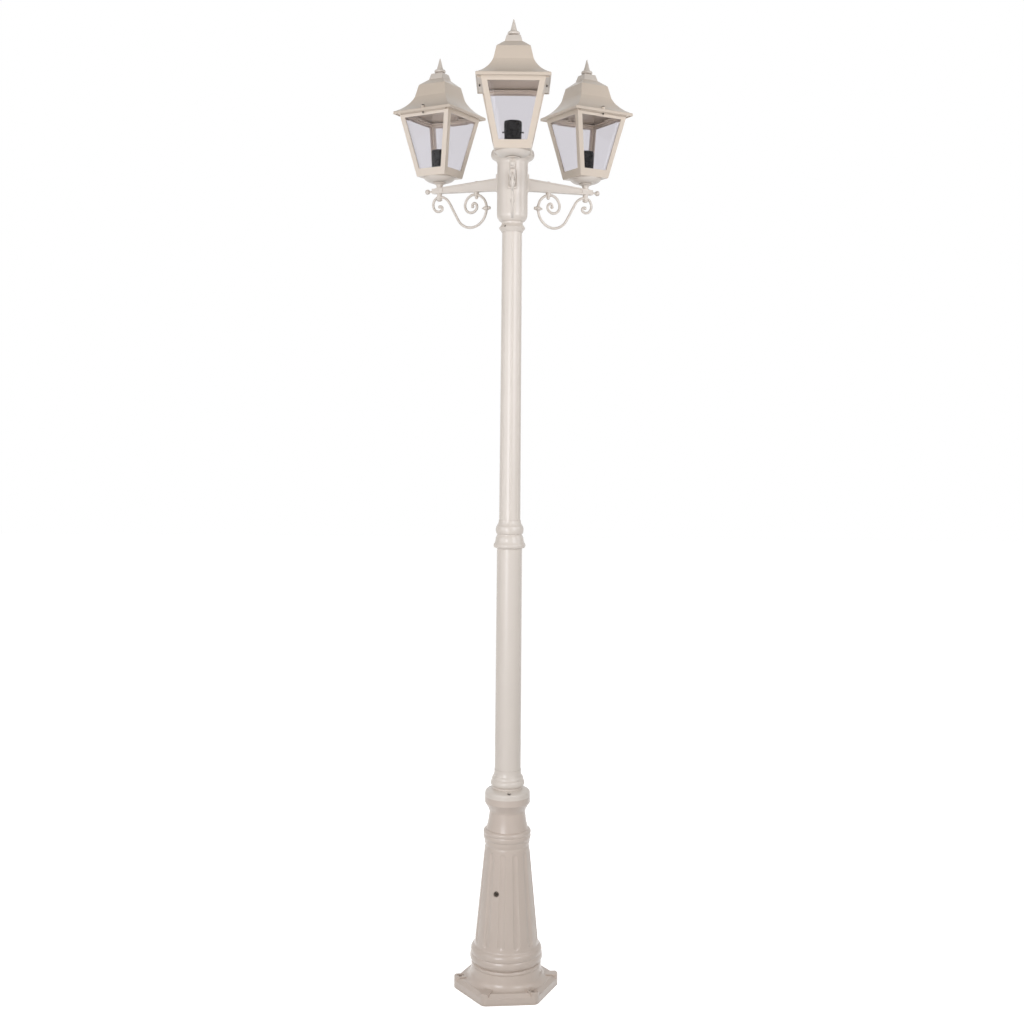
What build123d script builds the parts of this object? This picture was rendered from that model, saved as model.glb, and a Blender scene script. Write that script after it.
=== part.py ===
"""Triple head lamp post: a cast base, two tubes, a head column, three scrolled arms and three lanterns.

Millimetres, +Z up. The origin is the centre of the base plate's underside, and the front arm points along -Y.
Every casting is drawn from its own foot, and the castings are stacked one on another by their real seats.
"""
from build123d import *
import os
from math import asin, atan2, cos, degrees, hypot, radians, sin, sqrt

# ---------------------------------------------------------------- layout
ARM_NAMES = ("front", "right", "left")          # counter-clockwise seen from above
ARM_REACH = 236.0                               # post axis to lantern axis
BASE_TURN = 5.0                                 # the base is turned this far from the front arm
SEAT_GAP = 0.15                                 # radial room of a spigot in its socket
BOLT_GAP = 0.3                                  # radial room of a bolt in its hole

# ---------------------------------------------------------------- base casting
PLATE_INRADIUS = 129.5                          # hexagonal plate, axis to flat
PLATE_THICKNESS = 30.0
PLATE_CORNER_RADIUS = 18.0
PLATE_BEVEL = 9.2                               # all along the plate's top edge
PAD_WIDTH = 26.0                                # raised pad that runs out to each corner
PAD_HEIGHT = 3.0
PAD_EDGE_RADIUS = 1.2
ANCHOR_CIRCLE = 258.0
ANCHOR_COUNT = 3
ANCHOR_HOLE_RADIUS = 5.5
ANCHOR_SPOT_RADIUS = 10.0
ANCHOR_SPOT_DEPTH = 1.5
DRUM_FOOT_RADIUS = 117.0
DRUM_FLARE_RADIUS = 101.5
DRUM_FLARE_HEIGHT = 14.0                        # hollow flare above the plate
DRUM_FLARE_BULGE = -3.0
DRUM_RADIUS = 97.0
DRUM_HEIGHT = 23.0                              # tapered stretch above the flare
CUP_BEAD_HEIGHT = 10.5
CUP_BEAD_BULGE = 2.2
LOWER_BEAD_HEIGHT = 25.5
LOWER_BEAD_BULGE = 5.0
MIDDLE_BEAD_HEIGHT = 20.0
MIDDLE_BEAD_BULGE = 3.6
WAIST_RADIUS = 95.0                             # under the lower bead
GROOVE_RADIUS = 98.5                            # between the two big beads
CONE_COVE_HEIGHT = 7.0
CONE_COVE_STEP = 4.4
CONE_COVE_BULGE = -1.0
CONE_FOOT_RADIUS = 89.2
CONE_TOP_RADIUS = 62.4
CONE_HEIGHT = 276.0
FLUTE_COUNT = 12
FLUTE_ANGLE = 15.0                              # width of one flute seen from the axis
FLUTE_DEPTH = 3.4
FLUTE_FOOT_MARGIN = 18.0                        # plain cone below the flutes
FLUTE_TOP_MARGIN = 14.0
CROWN_COVE_HEIGHT = 6.0
CROWN_COVE_BULGE = -0.6
CROWN_GROOVE_RADIUS = 61.5
CROWN_BEAD_HEIGHTS = (14.0, 16.0, 14.0)         # a ridge and two beads stacked above the cone
CROWN_BEAD_RADII = (63.3, 65.0)                 # radius where one gives way to the next
CROWN_BEAD_BULGES = (1.0, 2.2, 4.4)
NECK_FOOT_RADIUS = 58.5
NECK_RADIUS = 50.0
NECK_HEIGHT = 50.0
NECK_BULGE = -1.2
CAPITAL_LIP = 1.3
CAPITAL_LIP_HEIGHT = 4.0
CAPITAL_LIP_BULGE = 0.6
CAPITAL_COVE_HEIGHT = 21.5
CAPITAL_COVE_BULGE = -0.5
CAPITAL_RADIUS = 63.5
CAPITAL_RIM_HEIGHT = 17.5
BASE_WALL = 7.5
CAPITAL_BORE_RADIUS = 38.0
EARTH_SCREW_HEIGHT = 289.0
EARTH_SCREW_AZIMUTH = -23.0
EARTH_SCREW_RADIUS = 3.0
EARTH_HEAD_RADIUS = 7.0
EARTH_HEAD_THICKNESS = 3.2
EARTH_SPOT_RADIUS = 9.0
EARTH_SPOT_DEPTH = 1.6                          # flat seat cut into the cone
EARTH_SOCKET_DEPTH = 2.0
TERMINAL_BLOCK = (16.0, 34.0, 52.0)             # radial, across, up
TERMINAL_SETBACK = 1.0                          # block's face inside the wall's inner face
TERMINAL_WIRE_RADIUS = 2.2
TERMINAL_ROW_PITCH = 15.3

# ---------------------------------------------------------------- foot collar and lower pole
COLLAR_FLANGE_EDGE = 11.0                       # straight edge of the flange
COLLAR_EDGE_DRAFT = 1.0
COLLAR_SHOULDER_HEIGHT = 11.5                   # domed shoulder above the edge
COLLAR_SHOULDER_STEP = 7.0                      # half way up the shoulder, in from the rim
COLLAR_NECK_RADIUS = 42.0
COLLAR_NECK_HEIGHT = 4.5
COLLAR_BEAD_HEIGHT = 19.5
COLLAR_BEAD_BULGE = 4.6
COLLAR_SMALL_BEAD_HEIGHT = 11.4
COLLAR_SMALL_BEAD_RADIUS = 43.6
COLLAR_FLARE_RADIUS = 39.6
COLLAR_FLARE_HEIGHT = 17.0
COLLAR_EDGE = 0.8                               # collar wall left at its top edge
COLLAR_FLOOR = 11.0                             # ledge that the lower pole stands on
COLLAR_FLOOR_BORE_RADIUS = 28.0
COLLAR_SPIGOT_DEPTH = 9.0
COLLAR_SCREW_CIRCLE = 106.0
COLLAR_SCREW_COUNT = 3
COLLAR_SCREW_RADIUS = 4.0
COLLAR_SCREW_HEAD_RADIUS = 5.5
COLLAR_SCREW_HEAD_HEIGHT = 4.5
COLLAR_SCREW_REACH = 14.0                       # length in the base casting
COLLAR_SPOT_LEVEL = 12.0                        # spot face above the flange's underside
LOWER_POLE_FOOT_RADIUS = 36.5
LOWER_POLE_TOP_RADIUS = 34.7
LOWER_POLE_LENGTH = 691.5
LOWER_POLE_WALL = 3.0

# ---------------------------------------------------------------- middle collar and upper pole
MID_SKIRT_DEPTH = 6.0                           # how far the skirt covers the lower pole's end
MID_SKIRT_EDGE_RADIUS = 40.0
MID_RING_RADIUS = 43.6
MID_RING_HEIGHT = 11.0
MID_RING_BULGE = 0.8
MID_OGEE_HEIGHT = 25.0
MID_GROOVE_RADIUS = 34.6
MID_GROOVE_HEIGHT = 4.0
MID_TORUS_RADIUS = 36.6
MID_TORUS_HEIGHT = 20.0
MID_TORUS_BULGE = 2.0
MID_COVE_HEIGHT = 17.0
MID_EDGE = 0.8
MID_SPIGOT_LENGTH = 40.0
MID_BORE_RADIUS = 18.0
MID_SOCKET_DEPTH = 35.0
UPPER_POLE_FOOT_RADIUS = 29.4
UPPER_POLE_TOP_RADIUS = 27.0
UPPER_POLE_LENGTH = 840.5
UPPER_POLE_WALL = 2.6
REED_COUNT = 8                                  # narrow grooves that part the pole's reeds
REED_GROOVE_RADIUS = 2.5
REED_GROOVE_DEPTH = 0.8

# ---------------------------------------------------------------- ring and head column
RING_HEIGHT = 22.0
RING_RADIUS = 35.0
RING_EDGE = 1.2
RING_NOSE_HEIGHT = 3.0
RING_NOSE_BULGE = 0.7
GRUB_AZIMUTH = -34.0
GRUB_RADIUS = 2.5
GRUB_LENGTH = 6.0
GRUB_SOCKET_RADIUS = 1.4
GRUB_SOCKET_DEPTH = 3.0
COLUMN_RADIUS = 41.7
COLUMN_HEIGHT = 171.0
COLUMN_FOOT_RADIUS = 28.5
COLUMN_FOOT_HEIGHT = 25.0
COLUMN_FOOT_BULGE = 3.2
COLUMN_TOP_RADIUS = 48.5
COLUMN_TOP_COVE = 16.0
COLUMN_TOP_COVE_BULGE = -2.6
COLUMN_WALL = 5.7
COLUMN_FLOOR = 32.0
COLUMN_SPIGOT_LENGTH = 68.0
COLUMN_BORE_RADIUS = 15.0
BOLT_SEAT_DEPTH = 0.6                           # flat seats cut into the column's inner wall
CAP_RADIUS = 58.2
CAP_BAND_HEIGHT = 26.0
CAP_SHOULDER_RADIUS = 52.0
CAP_DOME_HEIGHT = 9.0
CAP_WALL = 5.0
CAP_SPIGOT_DEPTH = 12.0

# ---------------------------------------------------------------- arms
ARM_ROOT_TOP = 126.6                            # above the column's foot
ARM_ROOT_HEIGHT = 34.2
ARM_END_HEIGHT = 15.0
ARM_TOP_DROP = 10.6                             # the top edge falls this far to the end
ARM_END_OVERHANG = 11.0                         # arm beyond the lantern axis
ARM_WIDTH = 17.0
ARM_EDGE_RADIUS = 2.5
ARM_PANEL_DEPTH = 1.5                           # sunk panel along each side
ARM_PANEL_RIM = 4.0                             # rim above and below the panel
ARM_PANEL_MARGIN = 6.0                          # plain arm at each end of the panel
ROOT_PLATE_HEIGHT = 50.0
ROOT_PLATE_RISE = 10.8                          # plate above the arm's top edge
ROOT_PLATE_WIDTH = 26.0
ROOT_PLATE_THICKNESS = 3.8
ROOT_PLATE_CORNER = 5.0
ARM_CABLE_BORE_RADIUS = 3.6
ARM_BOLT_RADIUS = 3.0
ARM_BOLT_OFFSET = 11.0                          # each side of the cable bore
ARM_BOLT_GRIP = 16.0
ARM_BOLT_HEAD_RADIUS = 5.2
ARM_BOLT_HEAD_HEIGHT = 4.0
FERRULE_LENGTH = 12.0
FERRULE_HEIGHT = 13.6
FERRULE_EDGE = 1.6
FINIAL_NECK_RADIUS = 2.6
BALL_RADIUS = 7.2
BALL_OFFSET = 17.0                              # end of the ferrule to the ball's centre

# ---------------------------------------------------------------- scrolls
SCROLL_SPAN = 121.8                             # between its fixings; the radii below are drawn for it
BAR_RADIUS = 3.6
SCROLL_BOLT_REACH = 114.2                       # post axis to the inner fixing
SCROLL_DROP = 38.4                              # arm's root top edge to the bar's centre at that fixing
SCROLL_CREST_DROP = 35.2                        # the same at the outer fixing
SHOULDER_TILT = 8.5                             # the bar leaves the inner fixing downwards, to the post
SHOULDER_RADIUS = 38.0
SHOULDER_SWEEP = 76.5
BELLY_RADIUS = 49.6
CREST_RADIUS = 39.0                             # crest over the small curl
BIG_CURL_TILT = 13.5                            # the bar leaves the inner fixing upwards, to the lantern
BIG_CURL = ((30.2, 92.0), (20.4, 154.0), (11.4, 96.0), (6.2, 148.0))     # radius, sweep in degrees
SMALL_CURL = ((20.7, 137.0), (17.2, 76.0), (6.2, 176.0))
BAR_END_RADIUS = 4.6
BOSS_RADIUS = 6.6
SCREW_RADIUS = 2.5
SCREW_HEAD_RADIUS = 4.4
SCREW_HEAD_HEIGHT = 3.4
SCREW_SEAT_DEPTH = 0.8                          # spot face on the arm's top edge
NUT_ACROSS_FLATS = 10.0
NUT_HEIGHT = 4.4
KNOB_RADIUS = 6.3
KNOB_WALL = 2.0                                 # beyond the bore, fore and aft
KNOB_BORE_GAP = 0.7                             # the bore is straight and the bar curved
KNOB_NOSE = 5.6                                 # domed end, towards the column
KNOB_TAIL = 8.8                                 # pointed end, towards the curl

# ---------------------------------------------------------------- lanterns
STEM_FOOT_RADIUS = 8.8
STEM_HEIGHT = 14.0
STEM_RING_RADIUS = 18.0
STEM_RING_HEIGHT = 3.6
STEM_COVE_BULGE = -3.0
ROD_RADIUS = 5.0
ROD_BORE_RADIUS = 3.2
ROD_NUT_ACROSS_FLATS = 15.0
ROD_NUT_HEIGHT = 6.0
ROD_TAIL = 2.0                                  # rod below its lower nut
ROD_ENTRY = 7.0                                 # rod inside the lampholder
PAD_LIFT = 0.7                                  # flat pad on the arm under the stem
DISH_RADIUS = 44.5
DISH_HEIGHT = 13.5
DISH_FOOT_RADIUS = 18.0
DISH_BULGE = 4.2
DISH_WALL = 2.6
FRAME_FOOT_HALF = 45.6                          # half the width across flats
FRAME_TOP_HALF = 80.5
FRAME_HEIGHT = 167.5
FRAME_WALL = 3.0
FRAME_POST_WIDTH = 14.0                         # strip on each face beside a corner
FRAME_FOOT_RAIL = 20.0
FRAME_TOP_RAIL = 10.5
FLANGE_LENGTH = 150.0                           # flange along the top of two faces, under the eave
FLANGE_THICKNESS = 3.0
FLANGE_GAP = 1.6                                # flange to the eave's lip
GLASS_THICKNESS = 3.0
GLASS_LAP = 4.0                                 # glass hidden behind the frame on each side
HOLDER_RADIUS = 22.4
HOLDER_HEIGHT = 66.0
HOLDER_FOOT_RADIUS = 10.0
HOLDER_CONE_HEIGHT = 9.0
HOLDER_DOME_HEIGHT = 4.0
HOLDER_MOUTH_RADIUS = 15.2
HOLDER_WELL_DEPTH = 42.0
HOLDER_SCREW_LEVEL = 38.5
HOLDER_SCREW_RADIUS = 1.6
HOLDER_SCREW_LENGTH = 5.5
HOLDER_SCREW_GRIP = 3.3                         # length inside the holder's wall
HOLDER_SCREW_HEAD_HEIGHT = 2.2
SHELL_OUTER_RADIUS = 14.4
SHELL_BORE_RADIUS = 13.3
SHELL_LENGTH = 28.0
CONTACT_RADIUS = 5.0
CONTACT_HEIGHT = 3.0
CONTACT_DROP = 0.4                              # contact's top below the shell's foot
WIRE_WAY_OFFSET = 2.0                           # wire way's axis beyond the contact's rim
ROOF_HALF = 93.0                                # eave, half the width across flats
ROOF_FASCIA = 8.5
ROOF_LIP = 1.5                                  # fascia below the soffit
ROOF_SOFFIT = 2.4
ROOF_OPENING_HALF = 70.0
ROOF_FLARE_TOP_HALF = 50.0
ROOF_FLARE_HEIGHT = 43.0
ROOF_FLARE_BULGE = -5.4
ROOF_SHOULDER_HALF = 42.4
ROOF_SHOULDER_HEIGHT = 33.0                     # steep stretch
ROOF_TOP_HALF = 21.6
ROOF_TOP_HEIGHT = 17.0                          # shallow stretch
ROOF_WALL = 2.6
ROOF_ROLL = 3.0                                 # rounded top edge of the fascia, larger than the wall
ROOF_SCREW_RADIUS = 2.0
ROOF_SCREW_HEAD_RADIUS = 4.2
ROOF_SCREW_HEAD_HEIGHT = 3.2
ROOF_SCREW_TAIL = 7.0                           # below the soffit
ROOF_BOSS_RADIUS = 5.2
ROOF_BOSS_LEVEL = 13.0                          # boss top above the soffit
TURRET_TOP_HALF = 17.4
TURRET_HEIGHT = 16.0
TURRET_NECK_RADIUS = 10.0
TURRET_NECK_HEIGHT = 3.6
FINIAL_BEAD_RADIUS = 15.6
FINIAL_BEAD_HEIGHT = 8.0
SPIKE_FOOT_RADIUS = 9.2
SPIKE_TIP_RADIUS = 1.2
SPIKE_HEIGHT = 32.1
FINIAL_STUD_RADIUS = 3.0
FINIAL_STUD_LENGTH = 8.0

# ---------------------------------------------------------------- levels that follow from the sizes
PLATE_TOP = PLATE_THICKNESS
PAD_TOP = PLATE_TOP + PAD_HEIGHT
DRUM_FLARE_TOP = PLATE_TOP + DRUM_FLARE_HEIGHT
DRUM_TOP = DRUM_FLARE_TOP + DRUM_HEIGHT
CUP_TOP = DRUM_TOP + CUP_BEAD_HEIGHT
LOWER_BEAD_TOP = CUP_TOP + LOWER_BEAD_HEIGHT
MIDDLE_BEAD_TOP = LOWER_BEAD_TOP + MIDDLE_BEAD_HEIGHT
CONE_FOOT = MIDDLE_BEAD_TOP + CONE_COVE_HEIGHT
CONE_TOP = CONE_FOOT + CONE_HEIGHT
CROWN_FOOT = CONE_TOP + CROWN_COVE_HEIGHT
CROWN_LEVELS = [CROWN_FOOT + sum(CROWN_BEAD_HEIGHTS[:count]) for count in (1, 2)]
NECK_FOOT = CROWN_FOOT + sum(CROWN_BEAD_HEIGHTS)
NECK_TOP = NECK_FOOT + NECK_HEIGHT
CAPITAL_FOOT = NECK_TOP + CAPITAL_LIP_HEIGHT
CAPITAL_RIM = CAPITAL_FOOT + CAPITAL_COVE_HEIGHT
BASE_TOP = CAPITAL_RIM + CAPITAL_RIM_HEIGHT
LOWER_POLE_FOOT = BASE_TOP + COLLAR_FLOOR
LOWER_POLE_TOP = LOWER_POLE_FOOT + LOWER_POLE_LENGTH
MID_FOOT = LOWER_POLE_TOP - MID_SKIRT_DEPTH
MID_TOP = (MID_FOOT + MID_RING_HEIGHT + MID_OGEE_HEIGHT + MID_GROOVE_HEIGHT
           + MID_TORUS_HEIGHT + MID_COVE_HEIGHT)
UPPER_POLE_FOOT = MID_TOP - MID_SOCKET_DEPTH
UPPER_POLE_TOP = UPPER_POLE_FOOT + UPPER_POLE_LENGTH
COLUMN_FOOT = UPPER_POLE_TOP
COLUMN_TOP = COLUMN_FOOT + COLUMN_HEIGHT
RING_FOOT = COLUMN_FOOT - RING_HEIGHT
ARM_TOP = COLUMN_FOOT + ARM_ROOT_TOP
ROOT_FACE = COLUMN_RADIUS + ROOT_PLATE_THICKNESS
ARM_END = ARM_REACH + ARM_END_OVERHANG
ARM_CABLE_LEVEL = ARM_TOP - ARM_TOP_DROP - ARM_END_HEIGHT / 2
PLATE_LEVEL = ARM_TOP + ROOT_PLATE_RISE - ROOT_PLATE_HEIGHT / 2
CONE_AT_SCREW = (CONE_FOOT_RADIUS - (CONE_FOOT_RADIUS - CONE_TOP_RADIUS)
                 * (EARTH_SCREW_HEIGHT - CONE_FOOT) / CONE_HEIGHT)
EARTH_SEAT = CONE_AT_SCREW - EARTH_SPOT_DEPTH
BLOCK_FACE = sqrt((CONE_AT_SCREW - BASE_WALL) ** 2 - (TERMINAL_BLOCK[1] / 2) ** 2) - TERMINAL_SETBACK
GRUB_LEVEL = RING_FOOT + RING_HEIGHT * 0.6
BOLT_SEAT = COLUMN_RADIUS - COLUMN_WALL + BOLT_SEAT_DEPTH


def arm_top(reach):
    """Level of the arm's top edge at a distance from the post axis."""
    return ARM_TOP - ARM_TOP_DROP * (reach - ROOT_FACE) / (ARM_END - ROOT_FACE)


def arm_underside(reach):
    """Level of the arm's lower edge at a distance from the post axis."""
    share = (reach - ROOT_FACE) / (ARM_END - ROOT_FACE)
    return arm_top(reach) - ARM_ROOT_HEIGHT - (ARM_END_HEIGHT - ARM_ROOT_HEIGHT) * share


STEM_FOOT = arm_top(ARM_REACH) + PAD_LIFT
DISH_FOOT = STEM_FOOT + STEM_HEIGHT
FRAME_FOOT = DISH_FOOT + DISH_HEIGHT
FRAME_TOP = FRAME_FOOT + FRAME_HEIGHT
INNER_NUT_FOOT = FRAME_FOOT + FRAME_WALL
HOLDER_FOOT = INNER_NUT_FOOT + ROD_NUT_HEIGHT
HOLDER_TOP = HOLDER_FOOT + HOLDER_HEIGHT
SHELL_FOOT = HOLDER_TOP - HOLDER_WELL_DEPTH
CONTACT_FOOT = SHELL_FOOT - CONTACT_DROP - CONTACT_HEIGHT
ROOF_TOP = FRAME_TOP - ROOF_LIP + ROOF_FASCIA + ROOF_FLARE_HEIGHT + ROOF_SHOULDER_HEIGHT + ROOF_TOP_HEIGHT
SCROLL_LEVEL = ARM_TOP - SCROLL_DROP
CREST_LEVEL = ARM_TOP - SCROLL_CREST_DROP
SCREW_SEAT = arm_top(SCROLL_BOLT_REACH) - SCREW_SEAT_DEPTH
SCROLL_FIT = (ARM_REACH - SCROLL_BOLT_REACH) / SCROLL_SPAN      # fits the scroll's radii to its span
BELLY_ARC = BELLY_RADIUS * SCROLL_FIT
CREST_ARC = CREST_RADIUS * SCROLL_FIT
ROD_FOOT = CREST_LEVEL - BAR_RADIUS - ROD_NUT_HEIGHT - ROD_TAIL
FRAME_SLOPE = (FRAME_TOP_HALF - FRAME_FOOT_HALF) / FRAME_HEIGHT
FACE_STRETCH = sqrt(1 + FRAME_SLOPE ** 2)       # a horizontal step to the same step square to the sloped face
FLANGE_REACH = ROOF_HALF - ROOF_WALL - FLANGE_GAP
ROOF_SCREW_REACH = (FRAME_TOP_HALF + FLANGE_REACH) / 2


# ---------------------------------------------------------------- helpers
def edge(start, end, bulge=0.0):
    """Edge between two (radius, height) points; bulge is the arc's sagitta, positive away from the axis."""
    if not bulge:
        return Line(start, end)
    run, rise = end[0] - start[0], end[1] - start[1]
    length = hypot(run, rise)
    side = 1 if rise >= 0 else -1
    middle = ((start[0] + end[0]) / 2 + side * bulge * rise / length,
              (start[1] + end[1]) / 2 - side * bulge * run / length)
    return ThreePointArc(start, middle, end)


def outline(*points):
    """Face in the XZ plane from (radius, height[, bulge]) points; a bulge shapes the edge up to its point."""
    edges = [edge(a[:2], b[:2], *b[2:]) for a, b in zip(points, points[1:] + points[:1])
             if hypot(a[0] - b[0], a[1] - b[1]) > 1e-6]
    return Plane.XZ * make_face(Wire(edges))


def turned(*points):
    """Solid of revolution about the Z axis, from a closed outline of (radius, height[, bulge]) points."""
    return revolve(outline(*points), Axis.Z)


def rod(radius, foot, top, x=0.0, y=0.0):
    """Upright cylinder from one level to another."""
    return Pos(x, y, foot) * Cylinder(radius, top - foot, align=(Align.CENTER, Align.CENTER, Align.MIN))


def lying_rod(radius, start, end, level, y=0.0):
    """Cylinder along X from one reach to another."""
    return Pos(start, y, level) * Rot(0, 90, 0) * Cylinder(
        radius, end - start, align=(Align.CENTER, Align.CENTER, Align.MIN))


def hexagon(across_flats, foot, height, x=0.0):
    """Upright hexagonal prism, such as a nut."""
    return Pos(x, 0, foot) * extrude(RegularPolygon(across_flats / 2, 6, major_radius=False), height)


def facing(azimuth):
    """Turn a piece drawn along +X so that it faces an azimuth, measured from -Y towards +X."""
    return Rot(0, 0, azimuth - 90)


def around(count, first=0.0):
    """Azimuths of equal steps round the axis."""
    return [first + 360 / count * i for i in range(count)]


def square_spire(*points):
    """Four-sided solid with mitred corners, whose faces follow one outline of (half width, level) points."""
    mirrored = [(-p[0], p[1]) + tuple(-b for b in p[2:]) for p in points]
    left = [mirrored[-1][:2]]
    left += [mirrored[i][:2] + mirrored[i + 1][2:] for i in range(len(points) - 2, -1, -1)]
    edges = [edge(a[:2], b[:2], *b[2:]) for a, b in zip(points, points[1:])]
    edges.append(Line(points[-1][:2], left[0][:2]))
    for start, end in zip(left, left[1:]):
        bulge = -end[2] if len(end) > 2 else 0.0
        edges.append(edge(start[:2], end[:2], -bulge))
    edges.append(Line(left[-1][:2], points[0][:2]))
    face = make_face(Wire([e for e in edges if e.length > 1e-6]))
    reach = 2 * max(p[0] for p in points)
    along_y = extrude(Plane.XZ * face, reach, both=True)
    along_x = extrude(Plane.YZ * face, reach, both=True)
    return along_y & along_x


# ---------------------------------------------------------------- base
def base_outline():
    """Points of the base casting's turned outer face, from the plate up to the foot collar."""
    return [(DRUM_FOOT_RADIUS, PLATE_TOP),
            (DRUM_FLARE_RADIUS, DRUM_FLARE_TOP, DRUM_FLARE_BULGE),
            (DRUM_RADIUS, DRUM_TOP),
            (WAIST_RADIUS, CUP_TOP, CUP_BEAD_BULGE),
            (GROOVE_RADIUS, LOWER_BEAD_TOP, LOWER_BEAD_BULGE),
            (CONE_FOOT_RADIUS + CONE_COVE_STEP, MIDDLE_BEAD_TOP, MIDDLE_BEAD_BULGE),
            (CONE_FOOT_RADIUS, CONE_FOOT, CONE_COVE_BULGE),
            (CONE_TOP_RADIUS, CONE_TOP),
            (CROWN_GROOVE_RADIUS, CROWN_FOOT, CROWN_COVE_BULGE),
            (CROWN_BEAD_RADII[0], CROWN_LEVELS[0], CROWN_BEAD_BULGES[0]),
            (CROWN_BEAD_RADII[1], CROWN_LEVELS[1], CROWN_BEAD_BULGES[1]),
            (NECK_FOOT_RADIUS, NECK_FOOT, CROWN_BEAD_BULGES[2]),
            (NECK_RADIUS, NECK_TOP, NECK_BULGE),
            (NECK_RADIUS + CAPITAL_LIP, CAPITAL_FOOT, CAPITAL_LIP_BULGE),
            (CAPITAL_RADIUS, CAPITAL_RIM, CAPITAL_COVE_BULGE),
            (CAPITAL_RADIUS, BASE_TOP)]


def plate_prism(height):
    """The plate's hexagon with its rounded corners, up to a height."""
    prism = extrude(RegularPolygon(PLATE_INRADIUS, 6, major_radius=False), height)
    return fillet(prism.edges().filter_by(Axis.Z), PLATE_CORNER_RADIUS)


def make_plate():
    """Bevelled hexagonal plate with a raised pad from the drum out to each corner."""
    plate = plate_prism(PLATE_TOP)
    plate = chamfer(plate.faces().sort_by(Axis.Z)[-1].edges(), PLATE_BEVEL)
    for azimuth in around(6, 30):
        strip = Pos(DRUM_RADIUS, 0, 0) * Box(PLATE_INRADIUS, PAD_WIDTH, PAD_TOP,
                                             align=(Align.MIN, Align.CENTER, Align.MIN))
        pad = plate_prism(PAD_TOP) & (facing(azimuth) * strip)
        plate += fillet(pad.faces().sort_by(Axis.Z)[-1].edges(), PAD_EDGE_RADIUS)
    return plate


def make_base_casting():
    body = make_plate() + turned((0, PLATE_TOP), *base_outline(), (0, BASE_TOP))
    # hollow from the floor up to the neck, then a round bore for the foot collar
    throat = NECK_RADIUS - BASE_WALL
    core = turned((0, 0), (WAIST_RADIUS - BASE_WALL, 0), (WAIST_RADIUS - BASE_WALL, LOWER_BEAD_TOP),
                  (CONE_FOOT_RADIUS - BASE_WALL, CONE_FOOT), (CONE_TOP_RADIUS - BASE_WALL, CONE_TOP),
                  (CROWN_GROOVE_RADIUS - BASE_WALL, CROWN_LEVELS[0]),
                  (NECK_FOOT_RADIUS - BASE_WALL, NECK_FOOT), (throat, NECK_TOP), (0, NECK_TOP))
    body -= core
    body -= rod(CAPITAL_BORE_RADIUS, NECK_TOP - 1, BASE_TOP)
    # flutes: a tapered rod with round ends, laid along the cone and sunk by the flute's depth
    radii = []
    for level in (FLUTE_FOOT_MARGIN, CONE_HEIGHT - FLUTE_TOP_MARGIN):
        cone_radius = CONE_FOOT_RADIUS - (CONE_FOOT_RADIUS - CONE_TOP_RADIUS) * level / CONE_HEIGHT
        half_width = cone_radius * sin(radians(FLUTE_ANGLE / 2))
        depth = FLUTE_DEPTH * cone_radius / CONE_FOOT_RADIUS
        radii.append((cone_radius, (half_width ** 2 + depth ** 2) / (2 * depth), depth))
    (foot_radius, foot_cut, foot_depth), (top_radius, top_cut, top_depth) = radii
    start = Vector(foot_radius + foot_cut - foot_depth, 0, CONE_FOOT + FLUTE_FOOT_MARGIN)
    end = Vector(top_radius + top_cut - top_depth, 0, CONE_TOP - FLUTE_TOP_MARGIN)
    cutter = Cone(foot_cut, top_cut, (end - start).length, align=(Align.CENTER, Align.CENTER, Align.MIN))
    cutter = Plane(origin=start, z_dir=end - start) * cutter + Pos(*start) * Sphere(foot_cut)
    cutter += Pos(*end) * Sphere(top_cut)
    for azimuth in around(FLUTE_COUNT, 180 / FLUTE_COUNT):
        body -= facing(azimuth) * cutter
    # anchor bolts at every second corner, in spot faces on the corner pads
    for azimuth in around(ANCHOR_COUNT, 30):
        hole = rod(ANCHOR_HOLE_RADIUS, 0, PAD_TOP, x=ANCHOR_CIRCLE / 2)
        spot = rod(ANCHOR_SPOT_RADIUS, PAD_TOP - ANCHOR_SPOT_DEPTH, PAD_TOP, x=ANCHOR_CIRCLE / 2)
        body -= facing(azimuth) * (hole + spot)
    # screw holes for the foot collar
    for azimuth in around(COLLAR_SCREW_COUNT):
        body -= facing(azimuth) * rod(COLLAR_SCREW_RADIUS + SEAT_GAP, BASE_TOP - COLLAR_SCREW_REACH - 1,
                                      BASE_TOP, x=COLLAR_SCREW_CIRCLE / 2)
    body = facing(90 + BASE_TURN) * body
    # earth screw hole with its spot face
    body -= facing(EARTH_SCREW_AZIMUTH) * (
        lying_rod(EARTH_SCREW_RADIUS + SEAT_GAP, 0, EARTH_SEAT + 5, EARTH_SCREW_HEIGHT)
        + lying_rod(EARTH_SPOT_RADIUS, EARTH_SEAT, EARTH_SEAT + 10, EARTH_SCREW_HEIGHT)
        + Pos(BLOCK_FACE, 0, EARTH_SCREW_HEIGHT) * Box(
            20, TERMINAL_BLOCK[1] + 1, TERMINAL_BLOCK[2] + 1, align=(Align.MAX, Align.CENTER, Align.CENTER)))
    return body


def make_earth_screw():
    shank = lying_rod(EARTH_SCREW_RADIUS, BLOCK_FACE - TERMINAL_BLOCK[0] / 2, EARTH_SEAT, EARTH_SCREW_HEIGHT)
    head = lying_rod(EARTH_HEAD_RADIUS, EARTH_SEAT, EARTH_SEAT + EARTH_HEAD_THICKNESS, EARTH_SCREW_HEIGHT)
    head = fillet(head.faces().sort_by(Axis.X)[-1].edges(), EARTH_HEAD_THICKNESS * 0.6)
    socket = Pos(EARTH_SEAT + EARTH_HEAD_THICKNESS, 0, EARTH_SCREW_HEIGHT) * Rot(0, -90, 0) * extrude(
        RegularPolygon(EARTH_HEAD_RADIUS * 0.4, 6), EARTH_SOCKET_DEPTH)
    return facing(EARTH_SCREW_AZIMUTH) * (head + shank - socket)


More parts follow.
